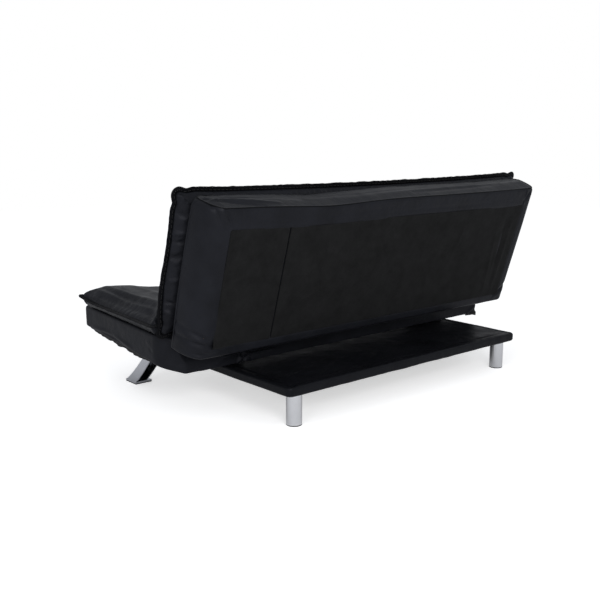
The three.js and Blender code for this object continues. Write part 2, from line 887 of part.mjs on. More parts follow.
// The pawl lies lifted off the ratchet. Its nose points at the hinge line.
function pawl() {
  const from = hingePlaneX;
  const to = hingePlaneX + plateThickness;
  const inward = radians(contactAngle + 180);
  const place = (along, towards) => [
    pawlPivot[0] - along * Math.cos(tangent) + towards * Math.cos(inward),
    pawlPivot[1] - along * Math.sin(tangent) + towards * Math.sin(inward),
  ];
  const half = pawlWidth / 2;
  const noseReach = pawlLine - ratchetTip - pawlRest;
  const bar = outline([
    place(0, -half),
    place(pawlLength + half, -half),
    place(pawlLength + half, half),
    place(pawlLength + pawlTip / 2, noseReach),
    place(pawlLength - pawlTip / 2, noseReach),
    place(pawlLength - half, half),
    place(0, half),
  ]);
  return prism(bar, "YZ", from, to)
    .add(rodAlongX(from, to, ...pawlPivot, pawlHub))
    .subtract(rodAlongX(from - overrun, to + overrun, ...pawlPivot, pawlPinRadius + runningGap));
}

// A torsion spring wound round the pawl's pin, inside the plates.
function pawlSpring() {
  const points = [];
  const pitch = coilWire + touch * 2;
  const innerX = hingePlaneX - pinHeadHeight - touch * 2 - coilWire;
  for (let i = 0; i <= coilTurns * coilSteps; i++) {
    const turn = (2 * Math.PI * i) / coilSteps;
    points.push(
      new THREE.Vector3(
        innerX - (pitch * i) / coilSteps,
        pawlPivot[0] + coilRadius * Math.cos(turn),
        pawlPivot[1] + coilRadius * Math.sin(turn),
      ),
    );
  }
  const section = disc(0, 0, coilWire / 2);
  const geometry = new THREE.ExtrudeGeometry(section, {
    steps: coilTurns * coilSteps,
    bevelEnabled: false,
    curveSegments: 3,
    extrudePath: new THREE.CatmullRomCurve3(points),
  });
  return solidFrom(geometry);
}

// The pawl's pin carries the spring past the inner face of the plates.
function pawlPin() {
  const from = hingePlaneX - pinHeadHeight - coilTurns * (coilWire + touch * 2) - 2 * coilWire;
  const to = hingePlaneX + 2 * plateThickness + plateGap;
  return rodAlongX(from, to, ...pawlPivot, pawlPinRadius);
}

function hinges() {
  for (const { name, sign } of sides) {
    add(backrest, "hinge_back_plate_" + name, onSide(backPlate(), sign), steel);
    add(sofa, "hinge_seat_plate_" + name, onSide(seatPlate(), sign), steel);
    const pin = rivet(hingeY, hingeZ, pinRadius, pinHeadRadius);
    add(sofa, "hinge_pin_" + name, onSide(pin, sign), steel);
    add(sofa, "ratchet_pawl_" + name, onSide(pawl(), sign), steel);
    add(sofa, "pawl_pin_" + name, onSide(pawlPin(), sign), steel);
    add(sofa, "pawl_spring_" + name, onSide(pawlSpring(), sign), steel);
  }
}

function platform() {
  const shape = (inset) =>
    rectangle(
      -platformHalfWidth + inset,
      platformHalfWidth - inset,
      platformFrontY + inset,
      rearY - inset,
      platformCorner,
    );
  const padded = new THREE.ExtrudeGeometry(shape(0), {
    depth: platformThickness - 2 * platformEdge,
    bevelThickness: platformEdge,
    bevelSize: platformEdge,
    bevelOffset: -platformEdge,
    bevelSegments: 3,
    curveSegments,
  });
  padded.translate(0, 0, rearLegHeight + platformEdge);
  const boardTop = platformTop - platformPadding;
  const boardInset = platformPadding + platformEdge;
  const hollow = prism(shape(boardInset), "XY", rearLegHeight - overrun, boardTop);
  add(sofa, "platform_cover", solidFrom(padded).subtract(hollow), leatherette);
  let board = prism(shape(boardInset + touch), "XY", rearLegHeight, boardTop - touch);
  for (const { sign } of sides) {
    board = board.subtract(
      turned(
        [
          [0, -overrun],
          [studRadius + touch, -overrun],
          [studRadius + touch, studGrip + touch],
          [0, studGrip + touch],
        ],
        sign * rearLegX,
        rearLegY,
        rearLegHeight,
      ),
    );
  }
  add(sofa, "platform_board", board, stainedTimber);
  const bearerStart = platformFrontY + platformCorner;
  const bearerEnd = seatRearY - railThickness;
  const bearer = outline([
    [bearerStart, platformTop + touch],
    [bearerEnd, platformTop + touch],
    [bearerEnd, seatUndersideAt(bearerEnd) - touch],
    [seatHeelY, seatHeelZ - touch],
    [bearerStart, seatUndersideAt(bearerStart) - touch],
  ]);
  const outerX = platformHalfWidth - bearerInset;
  for (const { name, sign } of sides) {
    const solid = prism(bearer, "YZ", outerX - bearerWidth, outerX);
    add(sofa, "platform_bearer_" + name, onSide(solid, sign), stainedTimber);
  }
}

const rearLegX = platformHalfWidth - rearLegSideInset;
const rearLegY = rearY - rearLegInset;

function rearLegs() {
  const top = rearLegHeight - touch;
  const inner = rearLegRadius - rearLegWall;
  const hole = studRadius + touch;
  const low = rearLegHeight - studGrip;
  for (const { name, sign } of sides) {
    const x = sign * rearLegX;
    const leg = turned(
      [
        [inner, glideHeight + touch],
        [rearLegRadius, glideHeight + touch],
        [rearLegRadius, top],
        [hole, top],
        [hole, low],
        [inner, low],
        [inner, glideHeight + touch],
      ],
      x,
      rearLegY,
      0,
    );
    add(sofa, "rear_leg_" + name, leg, chrome);
    const glide = turned(
      [
        [0, 0],
        [rearLegRadius - glideInset, 0],
        [rearLegRadius, glideInset],
        [rearLegRadius, glideHeight],
        [inner - touch, glideHeight],
        [inner - touch, glideHeight + glidePlug],
        [0, glideHeight + glidePlug],
      ],
      x,
      rearLegY,
      0,
    );
    add(sofa, "rear_glide_" + name, glide, glidePlastic);
    const stud = turned(
      [
        [0, -studGrip],
        [studRadius, -studGrip],
        [studRadius, studGrip],
        [0, studGrip],
      ],
      x,
      rearLegY,
      rearLegHeight,
    );
    add(sofa, "rear_leg_stud_" + name, stud, steel);
  }
}

const legTopY = frontLegFootY + frontLegRun;
const footTop = footGlide + touch + footHeight;

// The front leg seen from its end, moved back by a setback: it leans back and narrows as it rises.
function frontLegOutline(setback) {
  const low = footTop - footHeight / 2;
  const high = seatUndersideAt(legTopY);
  const footY = (side) => frontLegFootY + setback + (side * frontLegFootThickness) / 2;
  const topY = (side) => legTopY + setback + (side * frontLegTopThickness) / 2;
  const [firstRun, firstRise, lastRun, lastRise] = frontLegBendShares;
  const bend = (side, run, rise) => [
    footY(side) + (topY(side) - footY(side)) * run,
    low + (high - low) * rise,
  ];
  const shape = new THREE.Shape();
  shape.moveTo(footY(-1), low);
  shape.bezierCurveTo(
    ...bend(-1, firstRun, firstRise),
    ...bend(-1, lastRun, lastRise),
    topY(-1),
    high,
  );
  shape.lineTo(topY(-1), high + overrun);
  shape.lineTo(topY(1), high + overrun);
  shape.lineTo(topY(1), high);
  shape.bezierCurveTo(
    ...bend(1, lastRun, lastRise),
    ...bend(1, firstRun, firstRise),
    footY(1),
    low,
  );
  return shape;
}

// A layer under the seat that follows its slope, seen from the end.
const underSeat = (startY, endY, thickness) =>
  outline([
    [startY, seatUndersideAt(startY) - touch - thickness],
    [endY, seatUndersideAt(endY) - touch - thickness],
    [endY, seatUndersideAt(endY) - touch],
    [startY, seatUndersideAt(startY) - touch],
  ]);

// Each front leg is a pressed channel, open at the back, on a foot plate and under a fixing plate.
function frontLegs() {
  const inner = frontLegX - frontLegWidth;
  const footX = frontLegX - footWidth;
  const footStart = frontLegFootY - footLength / 2;
  const footEnd = footStart + footLength;
  const plateX = frontLegX - legPlateWidth;
  const plateStart = legTopY - legPlateLength / 2;
  const plateEnd = plateStart + legPlateLength;
  const bar = prism(frontLegOutline(0), "YZ", inner, frontLegX, 2 * curveSegments)
    .intersect(prism(underSeat(frontY, seatHeelY, seatTopZ), "YZ", footX, frontLegX))
    .subtract(
      prism(
        frontLegOutline(frontLegFrontWall),
        "YZ",
        inner + frontLegWall,
        frontLegX - frontLegWall,
        2 * curveSegments,
      ),
    );
  const foot = block(footX, frontLegX, footStart, footEnd, footTop - footHeight, footTop);
  const plate = prism(
    underSeat(plateStart, plateEnd, legPlateThickness),
    "YZ",
    plateX,
    frontLegX,
  );
  const leg = bar.add(foot).add(plate);
  const glide = block(footX, frontLegX, footStart, footEnd, 0, footGlide);
  for (const { name, sign } of sides) {
    add(sofa, "front_leg_" + name, onSide(leg, sign), chrome);
    add(sofa, "front_glide_" + name, onSide(glide, sign), glidePlastic);
  }
}

add(sofa, "seat_box_cover", seatCover(), leatherette);
seatFrame();
seatSprings();
add(sofa, "seat_foam", seatFoam(), foam);
add(sofa, "seat_dust_cloth", dustCloth(), underCloth);
add(sofa, "seat_pad", seatPad(), leatherette);
add(backrest, "back_box_cover", backCover(), leatherette);
add(backrest, "back_rear_panel", backRearPanel(), rearFabric);
backFrame();
backSprings();
add(backrest, "back_foam", backFoam(), foam);
add(backrest, "back_pad", backPad(), leatherette);
hinges();
platform();
rearLegs();
frontLegs();

export default sofa;
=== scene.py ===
"""Click clack sofa bed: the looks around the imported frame. Metres, +Z up, the seat faces -Y."""

import json
import math

import bmesh
import bpy
import numpy as np
from mathutils import Matrix, Vector, kdtree, noise


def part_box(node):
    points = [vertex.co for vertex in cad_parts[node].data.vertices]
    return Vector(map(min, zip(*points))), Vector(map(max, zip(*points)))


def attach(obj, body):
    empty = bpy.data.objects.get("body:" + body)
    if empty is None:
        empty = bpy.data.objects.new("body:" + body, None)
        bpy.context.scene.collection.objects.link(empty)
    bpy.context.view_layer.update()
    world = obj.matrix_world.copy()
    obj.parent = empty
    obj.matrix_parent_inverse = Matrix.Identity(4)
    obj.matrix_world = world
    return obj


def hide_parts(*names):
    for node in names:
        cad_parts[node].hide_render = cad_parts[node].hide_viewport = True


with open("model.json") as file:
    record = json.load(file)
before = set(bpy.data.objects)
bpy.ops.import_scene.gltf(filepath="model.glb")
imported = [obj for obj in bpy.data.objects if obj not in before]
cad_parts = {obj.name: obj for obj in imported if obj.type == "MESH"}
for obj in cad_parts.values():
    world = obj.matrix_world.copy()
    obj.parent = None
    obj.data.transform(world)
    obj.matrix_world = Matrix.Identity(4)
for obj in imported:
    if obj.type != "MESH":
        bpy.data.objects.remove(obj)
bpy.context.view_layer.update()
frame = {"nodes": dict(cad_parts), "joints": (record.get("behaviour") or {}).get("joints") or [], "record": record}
NODES = frame["nodes"]

# Camera and stage
CAMERA_PLACE = Vector((2.5418, 2.7547, 1.0513))
CAMERA_TURN = 0.7096  # radians from straight along -Y
CAMERA_DROP = 0.192  # radians below level
FOCAL_SHARE = 843.29 / 600  # focal length over the frame's width
FLOOR_HALF = 9.0
LAMP_POWER = 75
SIDE_LAMP_POWER = 30
WORLD_LEVEL = 0.55
FLOOR_GLOW = 0.55  # lifts the floor to white for the camera

# Backrest box, measured from the hinge line along and across the backrest
LEAN = math.radians(16.5)
HINGE = Vector(next(j for j in frame["joints"] if j["name"] == "recline")["pos_m"])
BACK_HALF = 0.943
BACK_BULGE = 0.005  # of each end, halfway up
BACK_FRONT = -0.016
BACK_REAR = 0.125
BACK_LOW = -0.007
BACK_HIGH = 0.573
BACK_CORNER_START = 0.873  # where each rear corner begins, from the middle
BACK_CORNER_DEPTH = 0.120
BACK_FRONT_CORNER = 0.032
BACK_FOOT_CORNER = 0.014
BACK_HEAD_CORNER = 0.028
BACK_EDGE = 0.014
CAP_EDGE = 0.012  # roundness of the top, under the cap's seam
CAP_RISE = 0.010
CAP_SEAM = 0.0062  # thickness of the cap's seam
CAP_SEAM_DROP = 0.0016  # of that seam, under the top
CAP_DENT = (0.012, 0.38, 0.22)  # how deep the top has sunk, where, and how far along
CAP_LIFT = 0.007  # of the top's ends
SAG_START = 0.3  # share of the height above which the cover has sunk or risen
SIDE_BAND = 0.096
TOP_BAND = 0.078
HEM_BAND = 0.041
SLIT_X = 0.577
SLIT_WIDTH = 0.0065
SLIT_DEPTH = 0.020
PANEL_DEPTH = 0.005  # how far the cover lies under the rear panel
PANEL_SLOPE = 0.016  # over which it sinks
PANEL_PROUD = 0.0006
PANEL_EDGE = 0.005  # over which the panel's edges are tucked in
PANEL_TUCK = 0.0014
PANEL_THICKNESS = 0.001
PANEL_HALF = BACK_HALF - SIDE_BAND
PANEL_LOW = BACK_LOW + HEM_BAND
PANEL_HIGH = BACK_HIGH - TOP_BAND
REAR_REACH = 0.006  # what counts as the backrest's rear face
FOLD_FADE = 0.03  # over which the folds of its ends fade out towards the front
BACK = Matrix.Translation(HINGE) @ Matrix.Rotation(-LEAN, 4, "X")

# Pads, and the flange sewn round each
PAD_HALF = 0.985
PAD_EAR = 0.009  # how far the corners stand out past the drawn-in sides
PAD_ROLL = 0.095  # from the seam to where the face is full
PAD_CORNER = 0.038
PAD_FALL = 0.22  # share of the crown that is lost towards the sides
PAD_GATHER = (0.052, 0.020)  # place and width of a corner's gather, from the pad's edge
PAD_FULLNESS = (0.89, 0.13)  # place and width of a fuller front corner
PAD_BULGE = (-0.35, 0.45)  # place and width of the end seams' lift, as shares of half the length
SEAT_SLOPE = math.atan(0.033 / 0.609)
SEAT_PAD_START = Vector((0, -0.506, 0.345))
SEAT_PAD_LENGTH = 0.610
BACK_PAD_START = 0.014
BACK_PAD_LENGTH = 0.582
FLANGE = 0.011  # how far the sewn edge stands out from a pad
FLANGE_WIDTH = 0.0231
FLANGE_THICKNESS = 0.0055
STITCH_LENGTH = 0.0055
STITCH_PITCH = 0.009
STITCH_THICKNESS = 0.0007
GROOVE = 0.0024  # depth of a pressed-in seam
GROOVE_WIDTH = 0.0045
GROOVE_STEP = 0.002  # between the points of its line
SEAM_STEP = 0.006  # between the points of a pad's seam
PUCKER_PITCH = 0.37  # how fast the gathers change from point to point of a seam
PUCKER_DROP = 0.02  # from the seam down to where they are deepest
PUCKER_START = 0.008  # from the seam to where they are full

# Seat box: its top and its underside are y and height, from front to rear
SEAT_TOP = [(-0.528, 0.289), (-0.504, 0.345), (0.105, 0.312), (0.120, 0.285), (0.147, 0.216)]
SEAT_UNDER = [(-0.528, 0.258), (0.017, 0.203), (0.147, 0.167)]
SEAT_HALF = 0.945
SEAT_FRONT = -0.528
SEAT_REAR = 0.147
SEAT_REAR_HALF = 0.872
SEAT_TAPER_START = 0.045  # from where its ends taper towards the rear
SEAT_TAPER_BULGE = 0.006
SEAT_FRONT_HALF = 0.905  # half width of its straight front
SEAT_FRONT_CORNER = 0.034
SEAT_REAR_CORNER = 0.012
SEAT_EDGE = 0.010
SEAT_LOFT = 0.10  # height of the plain form, before it is drawn to the profile
SEAT_OPENING = (0.80, 0.40)  # half width and depth of the opening in its top and underside
TIE_SPAN = (0.70, 0.42)  # the stretch with the gather behind it

# Slack edge of the dust cloth
RUFFLE_STEP = 0.006
RUFFLE_LAP = 0.006  # how far it reaches up into the seat box
RUFFLE_INSET = 0.004
RUFFLE_THICKNESS = 0.0015
RUFFLE_SWING = 0.006
RUFFLE_WAVES = (0.020, 0.045)  # size of its waves, sideways and downwards

# Platform cover
DECK_EDGE = 0.012
DECK_CORNER = 0.024
DECK_SHRINK = 0.0012  # keeps its ripples inside the cover's size
DECK_BORDER = 0.032  # from the edge to the seam round the top
DECK_REACH = 0.002  # what counts as its top

# Meshes
FOLD_TAPER = 0.12  # share of its fading that a fold leaves out at each end
GRID = 0.010  # of the boxes' skins, before they are smoothed
PANEL_GRID = 0.006  # of the rear panel
BEND = 0.004  # over which the backrest's skin turns in at the panel and the slit

# Cloth simulation of the pads
VOXEL = 0.008
CLOTH_FRAMES = 16
CLOTH_PRESSURE = 3.0
CLOTH_STIFFNESS = 12
CLOTH_BENDING = 0.6
CLOTH_CAP = 0.012  # how far a point may move
TOUCH = 0.0004  # between a pad and what it lies on


def local(matrix, points):
    """Points of a piece's own axes, in the scene's axes."""
    turned = np.asarray(points) @ np.array(matrix.to_3x3()).T
    return turned + np.array(matrix.translation)


def add_object(name, data):
    obj = bpy.data.objects.new(name, data)
    bpy.context.scene.collection.objects.link(obj)
    return obj


def mesh_object(name, points, faces):
    data = bpy.data.meshes.new(name)
    data.from_pydata([tuple(p) for p in points], [], faces)
    data.validate()
    obj = add_object(name, data)
    clean(obj)
    return obj


def clean(obj, distance=1e-6):
    """Joins points that meet, turns the faces outwards and shades them smooth."""
    bm = bmesh.new()
    bm.from_mesh(obj.data)
    bmesh.ops.remove_doubles(bm, verts=bm.verts, dist=distance)
    bmesh.ops.recalc_face_normals(bm, faces=bm.faces)
    for face in bm.faces:
        face.smooth = True
    bm.to_mesh(obj.data)
    bm.free()


def apply_modifiers(obj):
    bpy.context.view_layer.update()
    graph = bpy.context.evaluated_depsgraph_get()
    data = bpy.data.meshes.new_from_object(obj.evaluated_get(graph))
    obj.modifiers.clear()
    obj.data = data
    for polygon in data.polygons:
        polygon.use_smooth = True


def subdivide(obj):
    modifier = obj.modifiers.new("smooth", "SUBSURF")
    modifier.levels = 1
    apply_modifiers(obj)


def coordinates(obj, kind="co"):
    values = np.empty(len(obj.data.vertices) * 3)
    obj.data.vertices.foreach_get(kind, values)
    return values.reshape(-1, 3)


def normals(obj):
    return coordinates(obj, "normal")


def set_coordinates(obj, points):
    obj.data.vertices.foreach_set("co", np.asarray(points).ravel())
    obj.data.update()


def push(obj, lift):
    """Moves each point outwards by its own lift."""
    set_coordinates(obj, coordinates(obj) + normals(obj) * lift[:, None])


def finish_piece(obj, body, material, node=None):
    """Gives a piece its material and body, and hides the node it replaces."""
    obj.data.materials.clear()
    obj.data.materials.append(material)
    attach(obj, body)
    if node:
        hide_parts(node)


def slab_faces(columns, rows, step, gap):
    """Faces of two grids of points. Neighbours are a step apart, and the grids a gap."""
    faces = []
    for j in range(rows - 1):
        for i in range(columns - 1):
            a = step * (j * columns + i)
            b = a + step
            d = a + step * columns
            c = d + step
            faces.append((a, b, c, d))
            faces.append((a + gap, d + gap, c + gap, b + gap))
    return faces


def ring_faces(start, count, sides, closed=False):
    """Faces between rings of points that follow one another, from the point start."""
    faces = []
    for i in range(count if closed else count - 1):
        here = start + i * sides
        after = start + (i + 1) % count * sides
        for k in range(sides):
            other = (k + 1) % sides
            faces.append((here + k, here + other, after + other, after + k))
    return faces


def tube_faces(start, count, sides):
    """The same for rings in an open row, with a face over each end."""
    last = start + (count - 1) * sides
    ends = [tuple(range(start, start + sides)), tuple(range(last, last + sides))]
    return ring_faces(start, count, sides) + ends


def ripple(points, height, size, seed):
    """Smooth waves of one height and size at each point, the same on every run."""
    offset = Vector((seed, 2 * seed, 3 * seed))
    return height * np.array([noise.noise(Vector(p) / size + offset) for p in points])


def fold_heights(points, folds):
    """Height of a set of folds at each point. A fold is (start, end, width, height)."""
    total = np.zeros(len(points))
    for start, end, width, height in folds:
        a = np.array(start)
        along = np.array(end) - a
        share = np.clip((points - a) @ along / (along @ along), 0, 1)
        gap = np.linalg.norm(points - (a + share[:, None] * along), axis=1)
        taper = np.sin(np.pi * (FOLD_TAPER + (1 - 2 * FOLD_TAPER) * share))
        total += height * taper * np.exp(-((gap / width) ** 2))
    return total


# Materials


def new_material(name):
    material = bpy.data.materials.new(name)
    material.use_nodes = True
    tree = material.node_tree
    shader = tree.nodes["Principled BSDF"]
    place = tree.nodes.new("ShaderNodeTexCoord")
    return material, tree, shader, place.outputs["Object"]


def set_inputs(node, values):
    for name, value in values.items():
        node.inputs[name].default_value = value


def texture_node(tree, kind, place, values):
    node = tree.nodes.new("ShaderNodeTex" + kind)
    set_inputs(node, values)
    tree.links.new(place, node.inputs["Vector"])
    return node


def noise_node(tree, place, scale, detail, roughness=0.5):
    values = {"Scale": scale, "Detail": detail, "Roughness": roughness}
    return texture_node(tree, "Noise", place, values).outputs["Fac"]


def ramp_node(tree, value, low, high):
    node = tree.nodes.new("ShaderNodeValToRGB")
    for element, place, colour in zip(node.color_ramp.elements, (0.3, 0.7), (low, high)):
        element.position = place
        element.color = colour
    tree.links.new(value, node.inputs["Fac"])
    return node.outputs["Color"]


def bump_node(tree, height, strength, distance, before=None):
    node = tree.nodes.new("ShaderNodeBump")
    set_inputs(node, {"Strength": strength, "Distance": distance})
    tree.links.new(height, node.inputs["Height"])
    if before is not None:
        tree.links.new(before, node.inputs["Normal"])
    return node.outputs["Normal"]


def grey(level, tint=0.0):
    """A grey with a cool tint."""
    return (level * (1 - tint / 4), level, level * (1 + tint), 1)


def leatherette(name, level, shine, wrinkle):
    """Black artificial leather: a fine pebble grain, faint creases and an uneven sheen."""
    material, tree, shader, place = new_material(name)
    patch = noise_node(tree, place, 9.0, 3.0)
    colour = ramp_node(tree, patch, grey(level * 0.8, 0.22), grey(level * 1.25, 0.26))
    tree.links.new(colour, shader.inputs["Base Color"])
    rough = ramp_node(tree, patch, grey(shine - 0.05), grey(shine + 0.08))
    tree.links.new(rough, shader.inputs["Roughness"])
    grain = texture_node(tree, "Voronoi", place, {"Scale": 620.0})
    grain.feature = "SMOOTH_F1"
    fine = bump_node(tree, grain.outputs["Distance"], 0.18, 0.0006)
    creases = noise_node(tree, place, 42.0, 4.0, 0.62)
    wide = bump_node(tree, creases, wrinkle, 0.004, fine)
    slack = bump_node(tree, noise_node(tree, place, 11.0, 2.0), wrinkle, 0.010, wide)
    tree.links.new(slack, shader.inputs["Normal"])
    set_inputs(shader, {"Specular IOR Level": 0.10, "Specular Tint": (0.90, 0.90, 1.0, 1)})
    return material


def fabric(name, level):
    """Matt woven cloth: two crossing sets of threads, with faint rubbed patches."""
    material, tree, shader, place = new_material(name)
    patch = noise_node(tree, place, 14.0, 8.0, 0.72)
    colour = ramp_node(tree, patch, grey(level * 0.68, 0.02), grey(level * 1.5, 0.03))
    tree.links.new(colour, shader.inputs["Base Color"])
    heights = []
    for direction in ("X", "Z"):
        values = {"Scale": 45.0, "Distortion": 0.6, "Detail": 1.0}
        wave = texture_node(tree, "Wave", place, values)
        wave.bands_direction = direction
        heights.append(wave.outputs["Fac"])
    crossing = tree.nodes.new("ShaderNodeMath")
    crossing.operation = "MULTIPLY"
    tree.links.new(heights[0], crossing.inputs[0])
    tree.links.new(heights[1], crossing.inputs[1])
    weave = bump_node(tree, crossing.outputs[0], 0.35, 0.0006)
    slack = bump_node(tree, noise_node(tree, place, 14.0, 3.0), 0.3, 0.006, weave)
    tree.links.new(slack, shader.inputs["Normal"])
    set_inputs(shader, {"Roughness": 0.92, "Sheen Weight": 0.02, "Specular IOR Level": 0.12})
    return material


def metal(name, level, roughness, tint=0.03, brushed=0.0):
    material, tree, shader, place = new_material(name)
    patch = noise_node(tree, place, 25.0, 3.0)
    colour = ramp_node(tree, patch, grey(level * 0.94, tint), grey(level, tint))
    tree.links.new(colour, shader.inputs["Base Color"])
    rough = ramp_node(tree, patch, grey(roughness * 0.85), grey(roughness * 1.15))
    tree.links.new(rough, shader.inputs["Roughness"])
    shader.inputs["Metallic"].default_value = 1.0
    if brushed:
        streaks = noise_node(tree, place, 400.0, 2.0)
        tree.links.new(bump_node(tree, streaks, brushed, 0.0003), shader.inputs["Normal"])
    return material


def wood(name, dark, light):
    material, tree, shader, place = new_material(name)
    values = {"Scale": 9.0, "Distortion": 5.0, "Detail": 3.0}
    rings = texture_node(tree, "Wave", place, values)
    colour = ramp_node(tree, rings.outputs["Fac"], (*dark, 1), (*light, 1))
    tree.links.new(colour, shader.inputs["Base Color"])
    shader.inputs["Roughness"].default_value = 0.75
    tree.links.new(bump_node(tree, rings.outputs["Fac"], 0.2, 0.0005), shader.inputs["Normal"])
    return material


def speckled(name, low, high, scale, roughness, bump=0.3):
    """Foam, felt or moulded plastic."""
    material, tree, shader, place = new_material(name)
    grains = noise_node(tree, place, scale, 4.0)
    tree.links.new(ramp_node(tree, grains, low, high), shader.inputs["Base Color"])
    shader.inputs["Roughness"].default_value = roughness
    tree.links.new(bump_node(tree, grains, bump, 0.0008), shader.inputs["Normal"])
    return material


COVER = leatherette("leatherette_cover", level=0.0108, shine=0.40, wrinkle=0.3)
PAD_SKIN = leatherette("leatherette_pad", level=0.0098, shine=0.38, wrinkle=0.4)
DECK_SKIN = leatherette("leatherette_platform", level=0.0060, shine=0.36, wrinkle=0.3)
# Piping and flanges: the cover's own leather, its much darker level a painted shade for the shaded groove along
# each seam.
PIPING_SKIN_PAINTED_SHADE = leatherette("leatherette_piping_painted_shade", level=0.0022, shine=0.55, wrinkle=0.1)
REAR_FABRIC = fabric("rear_fabric_weave", level=0.0080)
DUST_CLOTH = speckled("dust_cloth_felt", grey(0.012), grey(0.022), 900.0, 0.95)
# Front legs: rougher, brushed satin chrome; its lower level is a painted dimmer reflection of the surroundings.
LEG_CHROME = metal("chrome_plating_satin_painted_dim", level=0.60, roughness=0.20, tint=0.07, brushed=0.1)
THREAD = speckled("thread_black", grey(0.018), grey(0.03), 1500.0, 0.7, 0.2)
SLOT_MATERIALS = {
    "leatherette": COVER,
    "rear_fabric": REAR_FABRIC,
    "under_cloth": DUST_CLOTH,
    "chrome": metal("chrome_plating", level=0.88, roughness=0.12),
    "steel": metal("plain_steel", level=0.30, roughness=0.42, tint=0.02, brushed=0.2),
    "timber": wood("sawn_timber", (0.34, 0.19, 0.08), (0.52, 0.33, 0.16)),
    "stained_timber": wood("stained_timber_black", (0.008, 0.007, 0.006), (0.016, 0.014, 0.012)),
    "foam": speckled("upholstery_foam", (0.62, 0.54, 0.36, 1), (0.76, 0.68, 0.5, 1), 500.0, 0.95, 0.5),
    "glide_plastic": speckled("glide_plastic_black", grey(0.006), grey(0.010), 700.0, 0.5, 0.2),
}


def dress_nodes():
    """Every carried-over node gets the material of its slot, except the front legs, which get the satin chrome
    with its painted dimmer reflection.
    """
    for part in frame["record"]["subparts"]:
        node = NODES[part["node"]]
        node.data.materials.clear()
        node.data.materials.append(SLOT_MATERIALS[part["material_slot"]])
    for side in ("left", "right"):
        NODES["front_leg_" + side].data.materials[0] = LEG_CHROME


# Pads


def bell(value, middle, width):
    """1 at the middle, falling away on both sides of it."""
    return math.exp(-(((value - middle) / width) ** 2))


def stations(half, under_roll, power, border, middle):
    """Places across a pad: on its face, on its underside, and how full each of these is there."""
    rows = []
    for i in range(border):
        share = 1 - math.cos(math.pi / 2 * i / border)
        full = math.sqrt(1 - (1 - share) ** 2)
        boxed = (1 - (1 - share) ** power) ** (1 / power)
        rows.append((half - PAD_ROLL * share, half - under_roll * share, full, boxed))
    inner = []
    for i in range(middle + 1):
        place = 2 * i / middle - 1
        inner.append((place * (half - PAD_ROLL), place * (half - under_roll), 1.0, 1.0))
    mirrored = [(-face, -under, full, boxed) for face, under, full, boxed in rows]
    return mirrored + inner + rows[::-1]


